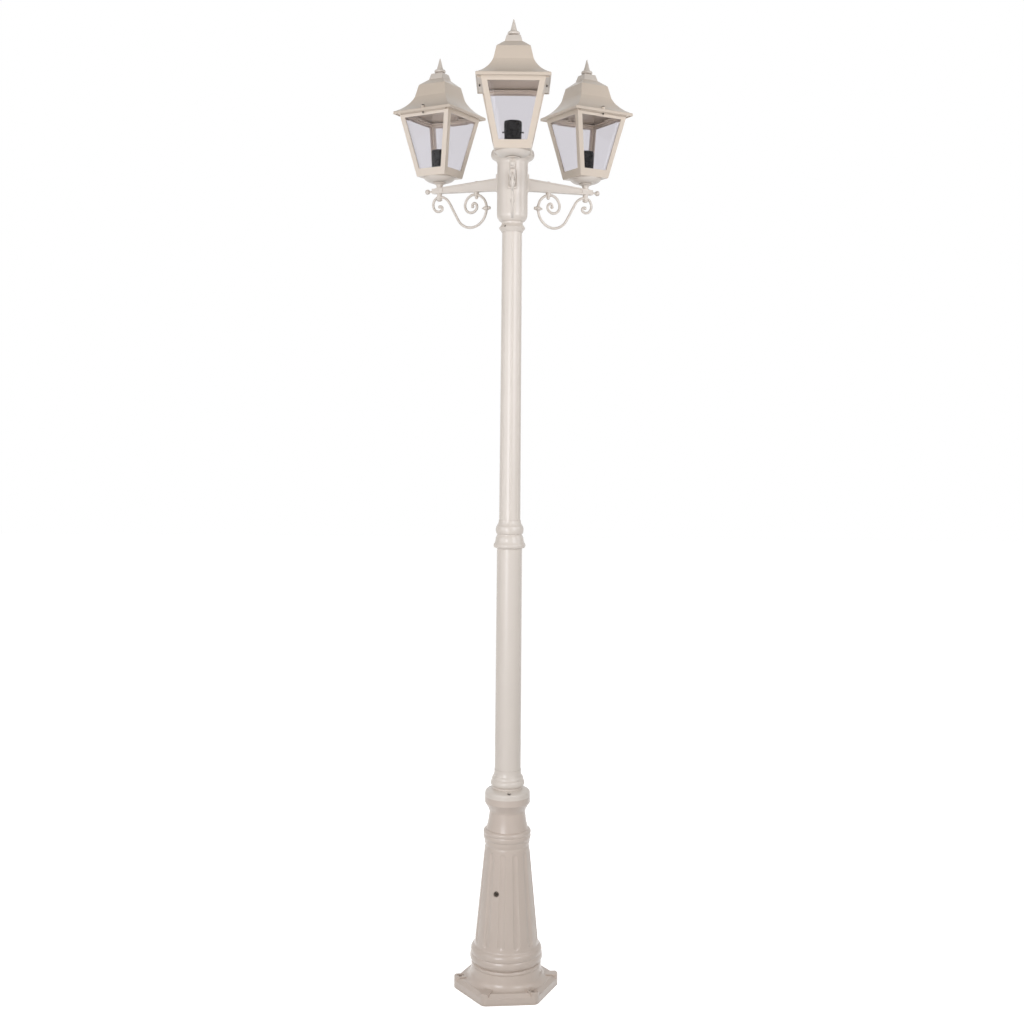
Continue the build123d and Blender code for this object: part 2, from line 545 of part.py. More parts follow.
def make_terminal_block():
    block = Pos(BLOCK_FACE, 0, EARTH_SCREW_HEIGHT) * Box(
        *TERMINAL_BLOCK, align=(Align.MAX, Align.CENTER, Align.CENTER))
    block = chamfer(block.edges().filter_by(Axis.Z), 1.5)
    for step in (-1, 0, 1):
        level = EARTH_SCREW_HEIGHT + step * TERMINAL_ROW_PITCH
        for side in (-1, 1):
            block -= lying_rod(TERMINAL_WIRE_RADIUS, 0, BLOCK_FACE - TERMINAL_BLOCK[0] + 5, level,
                               y=side * TERMINAL_BLOCK[1] / 4)
    block -= lying_rod(EARTH_SCREW_RADIUS + SEAT_GAP, BLOCK_FACE - TERMINAL_BLOCK[0] / 2,
                       BLOCK_FACE + 1, EARTH_SCREW_HEIGHT)
    return facing(EARTH_SCREW_AZIMUTH) * block


# ---------------------------------------------------------------- foot collar, poles, middle collar
def make_foot_collar():
    shoulder = BASE_TOP + COLLAR_FLANGE_EDGE
    neck = shoulder + COLLAR_SHOULDER_HEIGHT
    bead = neck + COLLAR_NECK_HEIGHT
    small_bead = bead + COLLAR_BEAD_HEIGHT
    flare = small_bead + COLLAR_SMALL_BEAD_HEIGHT
    top = flare + COLLAR_FLARE_HEIGHT
    socket = LOWER_POLE_FOOT_RADIUS + SEAT_GAP
    spigot = CAPITAL_BORE_RADIUS - SEAT_GAP
    body = turned((COLLAR_FLOOR_BORE_RADIUS, BASE_TOP - COLLAR_SPIGOT_DEPTH),
                  (spigot, BASE_TOP - COLLAR_SPIGOT_DEPTH), (spigot, BASE_TOP), (CAPITAL_RADIUS, BASE_TOP),
                  (CAPITAL_RADIUS - COLLAR_EDGE_DRAFT, shoulder),
                  (CAPITAL_RADIUS - COLLAR_SHOULDER_STEP, shoulder + COLLAR_SHOULDER_HEIGHT / 2, 1.2),
                  (COLLAR_NECK_RADIUS, neck), (COLLAR_NECK_RADIUS, bead),
                  (COLLAR_SMALL_BEAD_RADIUS, small_bead, COLLAR_BEAD_BULGE),
                  (COLLAR_FLARE_RADIUS, flare, 1.8),
                  (socket + COLLAR_EDGE, top, -1.0),
                  (socket, top), (socket, LOWER_POLE_FOOT), (COLLAR_FLOOR_BORE_RADIUS, LOWER_POLE_FOOT))
    for azimuth in around(COLLAR_SCREW_COUNT, BASE_TURN):
        hole = rod(COLLAR_SCREW_RADIUS + BOLT_GAP, BASE_TOP, neck, x=COLLAR_SCREW_CIRCLE / 2)
        spot = rod(COLLAR_SCREW_HEAD_RADIUS + BOLT_GAP, BASE_TOP + COLLAR_SPOT_LEVEL, neck,
                   x=COLLAR_SCREW_CIRCLE / 2)
        body -= facing(azimuth) * (hole + spot)
    return body


def make_foot_collar_screws():
    seat = BASE_TOP + COLLAR_SPOT_LEVEL
    screws = []
    for azimuth in around(COLLAR_SCREW_COUNT, BASE_TURN):
        head = rod(COLLAR_SCREW_HEAD_RADIUS, seat, seat + COLLAR_SCREW_HEAD_HEIGHT)
        head = fillet(head.faces().sort_by(Axis.Z)[-1].edges(), COLLAR_SCREW_HEAD_HEIGHT * 0.7)
        head -= hexagon(COLLAR_SCREW_RADIUS * 1.3, seat + COLLAR_SCREW_HEAD_HEIGHT - 2.5, 3)
        shank = rod(COLLAR_SCREW_RADIUS, BASE_TOP - COLLAR_SCREW_REACH, seat)
        screws.append(facing(azimuth) * Pos(COLLAR_SCREW_CIRCLE / 2, 0, 0) * (head + shank))
    return screws


def make_lower_pole():
    return turned((LOWER_POLE_FOOT_RADIUS - LOWER_POLE_WALL, LOWER_POLE_FOOT),
                  (LOWER_POLE_FOOT_RADIUS, LOWER_POLE_FOOT), (LOWER_POLE_TOP_RADIUS, LOWER_POLE_TOP),
                  (LOWER_POLE_TOP_RADIUS - LOWER_POLE_WALL, LOWER_POLE_TOP))


def make_mid_collar():
    ring = MID_FOOT + MID_RING_HEIGHT
    groove = ring + MID_OGEE_HEIGHT
    torus = groove + MID_GROOVE_HEIGHT
    cove = torus + MID_TORUS_HEIGHT
    skirt = LOWER_POLE_TOP_RADIUS + SEAT_GAP
    spigot = LOWER_POLE_TOP_RADIUS - LOWER_POLE_WALL - SEAT_GAP
    socket = UPPER_POLE_FOOT_RADIUS + SEAT_GAP
    return turned((MID_BORE_RADIUS, LOWER_POLE_TOP - MID_SPIGOT_LENGTH),
                  (spigot, LOWER_POLE_TOP - MID_SPIGOT_LENGTH), (spigot, LOWER_POLE_TOP),
                  (skirt, LOWER_POLE_TOP), (skirt, MID_FOOT), (MID_SKIRT_EDGE_RADIUS, MID_FOOT),
                  (MID_RING_RADIUS, MID_FOOT + MID_RING_HEIGHT / 3, 0.8),
                  (MID_RING_RADIUS - 0.4, ring, MID_RING_BULGE),
                  ((MID_RING_RADIUS + MID_GROOVE_RADIUS) / 2, ring + MID_OGEE_HEIGHT * 0.45, -0.8),
                  (MID_GROOVE_RADIUS, groove, 0.7), (MID_GROOVE_RADIUS, groove + MID_GROOVE_HEIGHT / 2),
                  (MID_TORUS_RADIUS, torus), (MID_TORUS_RADIUS, cove, MID_TORUS_BULGE),
                  (socket + MID_EDGE, MID_TOP, -1.6), (socket, MID_TOP),
                  (socket, UPPER_POLE_FOOT), (MID_BORE_RADIUS, UPPER_POLE_FOOT))


def make_upper_pole():
    tube = turned((UPPER_POLE_FOOT_RADIUS - UPPER_POLE_WALL, UPPER_POLE_FOOT),
                  (UPPER_POLE_FOOT_RADIUS, UPPER_POLE_FOOT), (UPPER_POLE_TOP_RADIUS, UPPER_POLE_TOP),
                  (UPPER_POLE_TOP_RADIUS - UPPER_POLE_WALL, UPPER_POLE_TOP))
    stand_off = REED_GROOVE_RADIUS - REED_GROOVE_DEPTH
    start = Vector(UPPER_POLE_FOOT_RADIUS + stand_off, 0, UPPER_POLE_FOOT)
    end = Vector(UPPER_POLE_TOP_RADIUS + stand_off, 0, UPPER_POLE_TOP)
    groove = Plane(origin=start, z_dir=end - start) * Pos(0, 0, -5) * Cylinder(
        REED_GROOVE_RADIUS, (end - start).length + 10, align=(Align.CENTER, Align.CENTER, Align.MIN))
    for azimuth in around(REED_COUNT):
        tube -= facing(azimuth) * groove
    return tube


def make_pole_ring():
    bore = UPPER_POLE_TOP_RADIUS + (UPPER_POLE_FOOT_RADIUS - UPPER_POLE_TOP_RADIUS) * RING_HEIGHT \
        / UPPER_POLE_LENGTH + SEAT_GAP
    nose = RING_FOOT + (RING_HEIGHT - RING_NOSE_HEIGHT) / 2
    body = turned((bore, RING_FOOT), (bore + RING_EDGE, RING_FOOT), (RING_RADIUS, nose),
                  (RING_RADIUS, nose + RING_NOSE_HEIGHT, RING_NOSE_BULGE),
                  (bore + RING_EDGE, COLUMN_FOOT), (bore, COLUMN_FOOT))
    return body - facing(GRUB_AZIMUTH) * lying_rod(GRUB_RADIUS + SEAT_GAP, 0, RING_RADIUS + 5, GRUB_LEVEL)


def make_ring_grub_screw():
    start = UPPER_POLE_TOP_RADIUS + SEAT_GAP
    screw = lying_rod(GRUB_RADIUS, start, start + GRUB_LENGTH, GRUB_LEVEL)
    screw -= Pos(start + GRUB_LENGTH, 0, GRUB_LEVEL) * Rot(0, -90, 0) * extrude(
        RegularPolygon(GRUB_SOCKET_RADIUS, 6), GRUB_SOCKET_DEPTH)
    return facing(GRUB_AZIMUTH) * screw


# ---------------------------------------------------------------- head column and cap
def make_column():
    spigot = UPPER_POLE_TOP_RADIUS - UPPER_POLE_WALL - SEAT_GAP
    cavity = COLUMN_RADIUS - COLUMN_WALL
    body = turned((COLUMN_BORE_RADIUS, COLUMN_FOOT - COLUMN_SPIGOT_LENGTH),
                  (spigot, COLUMN_FOOT - COLUMN_SPIGOT_LENGTH), (spigot, COLUMN_FOOT),
                  (COLUMN_FOOT_RADIUS, COLUMN_FOOT),
                  (COLUMN_FOOT_RADIUS + 1, COLUMN_FOOT + COLUMN_FOOT_HEIGHT * 0.2),
                  (COLUMN_RADIUS, COLUMN_FOOT + COLUMN_FOOT_HEIGHT, COLUMN_FOOT_BULGE),
                  (COLUMN_RADIUS, COLUMN_TOP - COLUMN_TOP_COVE),
                  (COLUMN_TOP_RADIUS, COLUMN_TOP, COLUMN_TOP_COVE_BULGE), (cavity, COLUMN_TOP),
                  (cavity, COLUMN_FOOT + COLUMN_FLOOR), (COLUMN_BORE_RADIUS, COLUMN_FOOT + COLUMN_FLOOR))
    for azimuth in around(len(ARM_NAMES)):
        holes = lying_rod(ARM_CABLE_BORE_RADIUS, 0, COLUMN_RADIUS + 5, ARM_CABLE_LEVEL)
        for side in (-1, 1):
            holes += lying_rod(ARM_BOLT_RADIUS + BOLT_GAP, 0, COLUMN_RADIUS + 5,
                               ARM_CABLE_LEVEL + side * ARM_BOLT_OFFSET)
            # flat seat for the bolt's head
            holes += lying_rod(ARM_BOLT_HEAD_RADIUS + 0.6, 0, BOLT_SEAT,
                               ARM_CABLE_LEVEL + side * ARM_BOLT_OFFSET)
        body -= facing(azimuth) * holes
    return body


def make_column_cap():
    band = COLUMN_TOP + CAP_BAND_HEIGHT
    spigot = COLUMN_RADIUS - COLUMN_WALL - SEAT_GAP
    inside = spigot - CAP_WALL
    return turned((inside, COLUMN_TOP - CAP_SPIGOT_DEPTH), (spigot, COLUMN_TOP - CAP_SPIGOT_DEPTH),
                  (spigot, COLUMN_TOP), (COLUMN_TOP_RADIUS, COLUMN_TOP),
                  (CAP_RADIUS, COLUMN_TOP + CAP_BAND_HEIGHT * 0.36, 2.0),
                  (CAP_RADIUS, COLUMN_TOP + CAP_BAND_HEIGHT * 0.66, 0.8),
                  (CAP_SHOULDER_RADIUS, band, 1.8),
                  (0, band + CAP_DOME_HEIGHT), (0, band + CAP_DOME_HEIGHT - CAP_WALL),
                  (inside, band - CAP_WALL))


# ---------------------------------------------------------------- arms, drawn along +X
def arm_side(start, end, rim):
    """Side view of the tapered arm between two reaches, drawn in from its top and lower edges by a rim."""
    corners = [(start, arm_top(start) - rim), (end, arm_top(end) - rim),
               (end, arm_underside(end) + rim), (start, arm_underside(start) + rim)]
    return extrude(Plane.XZ * make_face(Polyline(*corners, close=True)), ARM_WIDTH / 2, both=True)


def make_arm():
    body = arm_side(ROOT_FACE - 1, ARM_END, 0)
    long_edges = body.edges().filter_by(lambda e: e.length > (ARM_END - ROOT_FACE) * 0.9)
    body = fillet(long_edges, ARM_EDGE_RADIUS)
    panel_end = ARM_REACH - STEM_FOOT_RADIUS - ARM_PANEL_MARGIN
    panel = arm_side(ROOT_FACE + ARM_PANEL_MARGIN, panel_end, ARM_PANEL_RIM)
    for side in (-1, 1):
        body -= Pos(0, side * (ARM_WIDTH - ARM_PANEL_DEPTH), 0) * panel
    plate = Pos(0, 0, PLATE_LEVEL) * extrude(
        Plane.YZ * RectangleRounded(ROOT_PLATE_WIDTH, ROOT_PLATE_HEIGHT, ROOT_PLATE_CORNER), ROOT_FACE)
    plate = chamfer(plate.faces().sort_by(Axis.X)[-1].edges(), 1.2)
    body += plate
    # flat pads: on top for the stem, below for the scroll's two bosses
    body += rod(STEM_FOOT_RADIUS + 0.8, ARM_CABLE_LEVEL, STEM_FOOT, x=ARM_REACH)
    body += rod(BOSS_RADIUS + 0.6, CREST_LEVEL + BAR_RADIUS, ARM_CABLE_LEVEL, x=ARM_REACH)
    body += rod(BOSS_RADIUS + 0.6, SCROLL_LEVEL + BAR_RADIUS,
                arm_underside(SCROLL_BOLT_REACH) + ARM_PANEL_RIM / 2, x=SCROLL_BOLT_REACH)
    body -= rod(COLUMN_RADIUS, COLUMN_FOOT, COLUMN_TOP)
    # cable way, and the holes for the stem's rod and the scroll screw
    body -= lying_rod(ARM_CABLE_BORE_RADIUS, 0, ARM_REACH, ARM_CABLE_LEVEL)
    body -= rod(ROD_RADIUS + SEAT_GAP, COLUMN_FOOT, COLUMN_TOP, x=ARM_REACH)
    body -= rod(SCREW_RADIUS + BOLT_GAP, COLUMN_FOOT, COLUMN_TOP, x=SCROLL_BOLT_REACH)
    body -= rod(SCREW_HEAD_RADIUS + 0.4, SCREW_SEAT, COLUMN_TOP, x=SCROLL_BOLT_REACH)
    for side in (-1, 1):
        body -= lying_rod(ARM_BOLT_RADIUS + SEAT_GAP, 0, BOLT_SEAT + ARM_BOLT_GRIP + 1,
                          ARM_CABLE_LEVEL + side * ARM_BOLT_OFFSET)
    return body


def make_arm_bolts():
    bolts = []
    for side in (-1, 1):
        level = ARM_CABLE_LEVEL + side * ARM_BOLT_OFFSET
        bolts.append(lying_rod(ARM_BOLT_RADIUS, BOLT_SEAT, BOLT_SEAT + ARM_BOLT_GRIP, level)
                     + lying_rod(ARM_BOLT_HEAD_RADIUS, BOLT_SEAT - ARM_BOLT_HEAD_HEIGHT, BOLT_SEAT, level))
    return bolts


def make_ball_finial():
    level = ARM_CABLE_LEVEL
    ferrule = Pos(ARM_END, 0, level) * Box(FERRULE_LENGTH, FERRULE_HEIGHT, FERRULE_HEIGHT,
                                           align=(Align.MIN, Align.CENTER, Align.CENTER))
    ferrule = chamfer(ferrule.faces().sort_by(Axis.X)[-1].edges(), FERRULE_EDGE)
    face = ARM_END + FERRULE_LENGTH
    ball = face + BALL_OFFSET
    neck = lying_rod(FINIAL_NECK_RADIUS, face - 1, ball, level)
    collar = lying_rod(FINIAL_NECK_RADIUS * 1.6, face - 1, face + 1.6, level)
    return ferrule + collar + neck + Pos(ball, 0, level) * Sphere(BALL_RADIUS)


# ---------------------------------------------------------------- scroll, drawn in the XZ plane along +X
def curl(start, heading, turns, sign):
    """Tangent arcs from a point: turns are (radius, sweep) pairs, sign +1 turns left and -1 right."""
    arcs = []
    for radius, sweep in turns:
        direction = (cos(radians(heading)), sin(radians(heading)))
        arcs.append(JernArc(start=start, tangent=direction, radius=radius, arc_size=sign * sweep))
        start = arcs[-1] @ 1
        heading += sign * sweep
    return arcs


def belly_centre():
    """Centre of the bar's deep belly, which follows the shoulder without a kink."""
    shoulder = curl((SCROLL_BOLT_REACH, SCROLL_LEVEL), 180 + SHOULDER_TILT,
                    ((SHOULDER_RADIUS * SCROLL_FIT, SHOULDER_SWEEP),), 1)
    start = shoulder[-1] @ 1
    heading = radians(180 + SHOULDER_TILT + SHOULDER_SWEEP)
    return start.X - BELLY_ARC * sin(heading), start.Y + BELLY_ARC * cos(heading)


def fitted(turns):
    """(radius, sweep) pairs with each radius fitted to the scroll's span."""
    return tuple((radius * SCROLL_FIT, sweep) for radius, sweep in turns)


def scroll_line():
    """Centre line of the scroll's bar, as its big curl and the stretch from shoulder to small curl."""
    root = (SCROLL_BOLT_REACH, SCROLL_LEVEL)
    big = curl(root, BIG_CURL_TILT, fitted(BIG_CURL), -1)
    # the belly's circle and the crest's circle share one inner tangent, which is the straight stretch
    belly = belly_centre()
    crest = (ARM_REACH, CREST_LEVEL - CREST_ARC)
    run, rise = crest[0] - belly[0], crest[1] - belly[1]
    climb = degrees(atan2(rise, run) + asin((BELLY_ARC + CREST_ARC) / hypot(run, rise)))
    belly_sweep = 180 - SHOULDER_TILT - SHOULDER_SWEEP + climb
    down = curl(root, 180 + SHOULDER_TILT,
                fitted(((SHOULDER_RADIUS, SHOULDER_SWEEP), (BELLY_RADIUS, belly_sweep))), 1)
    crest_foot = (crest[0] - CREST_ARC * sin(radians(climb)), crest[1] + CREST_ARC * cos(radians(climb)))
    up = curl(crest_foot, climb, fitted(((CREST_RADIUS, climb),) + SMALL_CURL), -1)
    return big, down + [Line(down[-1] @ 1, up[0] @ 0)] + up


def make_bar():
    big, rest = scroll_line()
    solids = [Pos(SCROLL_BOLT_REACH, 0, SCROLL_LEVEL) * Sphere(BAR_RADIUS)]
    for edges, heading in ((big, BIG_CURL_TILT), (rest, 180 + SHOULDER_TILT)):
        path = Plane.XZ * Wire(edges)
        direction = Vector(cos(radians(heading)), 0, sin(radians(heading)))
        section = Plane(origin=(SCROLL_BOLT_REACH, 0, SCROLL_LEVEL), z_dir=direction) * Circle(BAR_RADIUS)
        solids.append(sweep(section, path=path))
        tip = path @ 1
        solids.append(Pos(tip.X, tip.Y, tip.Z) * Sphere(BAR_END_RADIUS))
    bar = solids[0]
    for solid in solids[1:]:
        bar += solid
    return bar


def make_scroll(bar):
    body = bar
    for reach, level, boss, hole, nut in (
            (SCROLL_BOLT_REACH, SCROLL_LEVEL, BOSS_RADIUS, SCREW_RADIUS + BOLT_GAP, NUT_ACROSS_FLATS),
            (ARM_REACH, CREST_LEVEL, ROD_RADIUS + 2.4, ROD_RADIUS + SEAT_GAP, ROD_NUT_ACROSS_FLATS)):
        body += rod(boss, level - BAR_RADIUS, level + BAR_RADIUS, x=reach)
        body -= rod(hole, level - 2 * BAR_RADIUS, level + 2 * BAR_RADIUS, x=reach)
        # flat seats for the arm's pad above and the nut below
        body -= rod(boss + 1.2, level + BAR_RADIUS, level + 2 * BAR_RADIUS, x=reach)
        body -= rod(nut * 0.6 + 0.8, level - 3 * BAR_RADIUS, level - BAR_RADIUS, x=reach)
    return body


def make_scroll_knob():
    """Turned knob threaded on the bar where the bar passes nearest to the column."""
    x, level = belly_centre()
    x -= BELLY_ARC
    bore = BAR_RADIUS + KNOB_BORE_GAP
    half = bore + KNOB_WALL
    knob = turned((0, -half - KNOB_NOSE), (1.2, -half - KNOB_NOSE),
                  (KNOB_RADIUS * 0.7, -half - KNOB_NOSE / 2, 1.4),
                  (KNOB_RADIUS * 0.6, -half), (KNOB_RADIUS, -half + 2.4, 0.5), (KNOB_RADIUS, half - 2.4),
                  (KNOB_RADIUS * 0.6, half, 0.5), (KNOB_RADIUS * 0.62, half + 2.5, 0.5),
                  (0.6, half + KNOB_TAIL), (0, half + KNOB_TAIL))
    return Pos(x, 0, level) * (Rot(0, 90, 0) * knob - Cylinder(bore, 3 * KNOB_RADIUS))


def make_scroll_screw():
    length_foot = SCROLL_LEVEL - BAR_RADIUS - NUT_HEIGHT
    head = rod(SCREW_HEAD_RADIUS, SCREW_SEAT, SCREW_SEAT + SCREW_HEAD_HEIGHT)
    head = fillet(head.faces().sort_by(Axis.Z)[-1].edges(), SCREW_HEAD_HEIGHT * 0.7)
    return Pos(SCROLL_BOLT_REACH, 0, 0) * (head + rod(SCREW_RADIUS, length_foot, SCREW_SEAT))


def make_scroll_nut():
    foot = SCROLL_LEVEL - BAR_RADIUS - NUT_HEIGHT
    nut = hexagon(NUT_ACROSS_FLATS, foot, NUT_HEIGHT)
    nut += Pos(0, 0, foot) * Sphere(NUT_ACROSS_FLATS * 0.42)
    return Pos(SCROLL_BOLT_REACH, 0, 0) * (nut - rod(SCREW_RADIUS + SEAT_GAP, foot, foot + NUT_HEIGHT))


# ---------------------------------------------------------------- lanterns, drawn on their own axis
def make_stem():
    ring = DISH_FOOT - STEM_RING_HEIGHT
    stem = turned((0, STEM_FOOT), (STEM_FOOT_RADIUS, STEM_FOOT),
                  (STEM_RING_RADIUS - 2, ring, STEM_COVE_BULGE), (STEM_RING_RADIUS, ring + 0.8),
                  (STEM_RING_RADIUS, DISH_FOOT - 0.8, 0.4), (STEM_RING_RADIUS - 0.8, DISH_FOOT),
                  (0, DISH_FOOT))
    stem += rod(ROD_RADIUS, ROD_FOOT, HOLDER_FOOT + ROD_ENTRY)
    stem -= rod(ROD_BORE_RADIUS, ROD_FOOT, HOLDER_FOOT + ROD_ENTRY)
    # side hole where the cable turns up out of the arm
    stem -= lying_rod(ROD_BORE_RADIUS, -ROD_RADIUS - 1, 0, ARM_CABLE_LEVEL)
    return stem


def make_rod_nuts():
    nuts = []
    for foot in (CREST_LEVEL - BAR_RADIUS - ROD_NUT_HEIGHT, INNER_NUT_FOOT):
        nut = hexagon(ROD_NUT_ACROSS_FLATS, foot, ROD_NUT_HEIGHT)
        nuts.append(nut - rod(ROD_RADIUS + SEAT_GAP, foot, foot + ROD_NUT_HEIGHT))
    return nuts


def make_dish():
    return turned((ROD_RADIUS + SEAT_GAP, DISH_FOOT), (DISH_FOOT_RADIUS, DISH_FOOT),
                  (DISH_RADIUS, FRAME_FOOT - 1.4, DISH_BULGE), (DISH_RADIUS, FRAME_FOOT),
                  (DISH_RADIUS - DISH_WALL, FRAME_FOOT),
                  (DISH_FOOT_RADIUS - 1, DISH_FOOT + DISH_WALL, DISH_BULGE),
                  (ROD_RADIUS + SEAT_GAP, DISH_FOOT + DISH_WALL))


def frame_half(level):
    """Half width of the lantern frame's outer face at a level."""
    return FRAME_FOOT_HALF + (FRAME_TOP_HALF - FRAME_FOOT_HALF) * (level - FRAME_FOOT) / FRAME_HEIGHT


def pyramid(inset, foot, top):
    """Square frustum parallel to the frame's outer faces, set in by a thickness measured square to them."""
    step = inset * FACE_STRETCH
    return square_spire((frame_half(foot) - step, foot), (frame_half(top) - step, top))


def window(edge_width, foot, top, start, depth):
    """Trapezoid prism through the +X face, edge_width in from the frame's corners."""
    face = make_face(Polyline((-frame_half(foot) + edge_width, foot), (frame_half(foot) - edge_width, foot),
                              (frame_half(top) - edge_width, top), (-frame_half(top) + edge_width, top),
                              close=True))
    return Pos(start, 0, 0) * extrude(Plane.YZ * face, depth)


def make_frame():
    body = pyramid(0, FRAME_FOOT, FRAME_TOP)
    body -= pyramid(FRAME_WALL, FRAME_FOOT + FRAME_WALL, FRAME_TOP)
    opening = window(FRAME_POST_WIDTH, FRAME_FOOT + FRAME_FOOT_RAIL, FRAME_TOP - FRAME_TOP_RAIL,
                     0, FRAME_TOP_HALF + 5)
    for quarter in range(4):
        body -= Rot(0, 0, 90 * quarter) * opening
    flange = Pos(0, 0, FRAME_TOP - FLANGE_THICKNESS) * Box(
        FLANGE_LENGTH, 2 * FLANGE_REACH, FLANGE_THICKNESS, align=(Align.CENTER, Align.CENTER, Align.MIN))
    body += flange - pyramid(FRAME_WALL / 2, FRAME_FOOT, FRAME_TOP)
    for side in (-1, 1):
        body -= Pos(0, side * ROOF_SCREW_REACH, 0) * rod(
            ROOF_SCREW_RADIUS + BOLT_GAP, FRAME_TOP - FLANGE_THICKNESS, FRAME_TOP)
    body -= rod(ROD_RADIUS + SEAT_GAP, FRAME_FOOT, FRAME_FOOT + FRAME_WALL)
    return body


def make_glass():
    inside = pyramid(FRAME_WALL + GLASS_THICKNESS, FRAME_FOOT, FRAME_TOP)
    shell = pyramid(FRAME_WALL, FRAME_FOOT, FRAME_TOP) - inside
    cutter = window(FRAME_POST_WIDTH - GLASS_LAP, FRAME_FOOT + FRAME_FOOT_RAIL - GLASS_LAP,
                    FRAME_TOP - FRAME_TOP_RAIL + GLASS_LAP, 0, FRAME_TOP_HALF + 5)
    pane = shell & cutter
    return [Rot(0, 0, 90 * quarter) * pane for quarter in range(4)]


def make_lampholder():
    cone = HOLDER_FOOT + HOLDER_CONE_HEIGHT
    dome = HOLDER_TOP - HOLDER_DOME_HEIGHT
    seam = HOLDER_FOOT + HOLDER_SCREW_LEVEL
    body = turned((0, HOLDER_FOOT), (HOLDER_FOOT_RADIUS, HOLDER_FOOT), (HOLDER_RADIUS, cone, 1.5),
                  (HOLDER_RADIUS, seam - 2), (HOLDER_RADIUS - 0.8, seam - 1), (HOLDER_RADIUS - 0.8, seam + 1),
                  (HOLDER_RADIUS, seam + 2),
                  (HOLDER_RADIUS, dome), (HOLDER_RADIUS - 3.4, HOLDER_TOP, 1.4),
                  (0, HOLDER_TOP))
    body -= rod(HOLDER_MOUTH_RADIUS, SHELL_FOOT, HOLDER_TOP)
    body -= rod(CONTACT_RADIUS + SEAT_GAP, CONTACT_FOOT, SHELL_FOOT)
    body -= rod(ROD_RADIUS + SEAT_GAP, HOLDER_FOOT, HOLDER_FOOT + ROD_ENTRY)
    body -= rod(ROD_BORE_RADIUS, HOLDER_FOOT, SHELL_FOOT, x=CONTACT_RADIUS + WIRE_WAY_OFFSET)
    for side in (-1, 1):
        body -= Pos(0, side * HOLDER_RADIUS, seam) * Rot(90, 0, 0) * Cylinder(
            HOLDER_SCREW_RADIUS + SEAT_GAP, 2 * (HOLDER_SCREW_GRIP + SEAT_GAP))
    return body


def make_holder_screws():
    screws = []
    seam = HOLDER_FOOT + HOLDER_SCREW_LEVEL
    for side in (-1, 1):
        start = HOLDER_RADIUS - HOLDER_SCREW_GRIP
        end = start + HOLDER_SCREW_LENGTH
        shank = lying_rod(HOLDER_SCREW_RADIUS, start, end, seam)
        head = lying_rod(HOLDER_SCREW_RADIUS * 1.6, end, end + HOLDER_SCREW_HEAD_HEIGHT, seam)
        screws.append(Rot(0, 0, 90 * side) * (shank + head))
    return screws


def make_lamp_socket():
    """Brass screw shell on the floor of the lampholder's well, and the contact in a pocket below it."""
    top = SHELL_FOOT + SHELL_LENGTH
    shell = rod(SHELL_OUTER_RADIUS, SHELL_FOOT, top) - rod(SHELL_BORE_RADIUS, SHELL_FOOT, top)
    return [shell, rod(CONTACT_RADIUS, CONTACT_FOOT, CONTACT_FOOT + CONTACT_HEIGHT)]


def roof_points(inset, foot):
    """One face's outline of the roof, moved in by a wall."""
    roll_bulge = (ROOF_ROLL - inset) * (1 - cos(radians(45)))
    fascia = FRAME_TOP - ROOF_LIP + ROOF_FASCIA
    flare = fascia + ROOF_FLARE_HEIGHT
    shoulder = flare + ROOF_SHOULDER_HEIGHT
    return [(ROOF_HALF - inset, foot), (ROOF_HALF - inset, fascia - ROOF_ROLL),
            (ROOF_HALF - ROOF_ROLL, fascia - inset, roll_bulge),
            (ROOF_FLARE_TOP_HALF - inset, flare - inset * 0.2, ROOF_FLARE_BULGE),
            (ROOF_SHOULDER_HALF - inset, shoulder - inset * 0.6),
            (ROOF_TOP_HALF - inset, ROOF_TOP - inset)]


def make_roof():
    body = square_spire(*roof_points(0, FRAME_TOP - ROOF_LIP))
    opening = 2 * ROOF_OPENING_HALF
    hollow = square_spire(*roof_points(ROOF_WALL, FRAME_TOP + ROOF_SOFFIT))
    body -= hollow
    body -= Pos(0, 0, FRAME_TOP - ROOF_LIP) * Box(opening, opening, ROOF_LIP + ROOF_SOFFIT + 1,
                                                  align=(Align.CENTER, Align.CENTER, Align.MIN))
    # the fascia hangs below the soffit as a drip lip
    drip = 2 * (ROOF_HALF - ROOF_WALL)
    body -= Pos(0, 0, FRAME_TOP - ROOF_LIP) * Box(
        drip, drip, ROOF_LIP, align=(Align.CENTER, Align.CENTER, Align.MIN))
    for side in (-1, 1):
        at = Pos(0, side * ROOF_SCREW_REACH, 0)
        body += at * rod(ROOF_BOSS_RADIUS, FRAME_TOP, FRAME_TOP + ROOF_BOSS_LEVEL)
        body -= at * rod(ROOF_SCREW_RADIUS + BOLT_GAP, FRAME_TOP - 1, FRAME_TOP + ROOF_BOSS_LEVEL + 5)
        body -= at * rod(ROOF_SCREW_HEAD_RADIUS + 0.6, FRAME_TOP + ROOF_BOSS_LEVEL, ROOF_TOP)
    body -= rod(FINIAL_STUD_RADIUS + SEAT_GAP, ROOF_TOP - ROOF_WALL - 5, ROOF_TOP)
    return body


def make_roof_screws():
    seat = FRAME_TOP + ROOF_BOSS_LEVEL
    screws = []
    for side in (-1, 1):
        head = rod(ROOF_SCREW_HEAD_RADIUS, seat, seat + ROOF_SCREW_HEAD_HEIGHT)
        head = fillet(head.faces().sort_by(Axis.Z)[-1].edges(), ROOF_SCREW_HEAD_HEIGHT * 0.7)
        head -= Pos(0, 0, seat + ROOF_SCREW_HEAD_HEIGHT) * Box(ROOF_SCREW_HEAD_RADIUS * 3, 1.0, 2.4)
        screws.append(Pos(0, side * ROOF_SCREW_REACH, 0)
                      * (head + rod(ROOF_SCREW_RADIUS, FRAME_TOP - ROOF_SCREW_TAIL, seat)))
    return screws


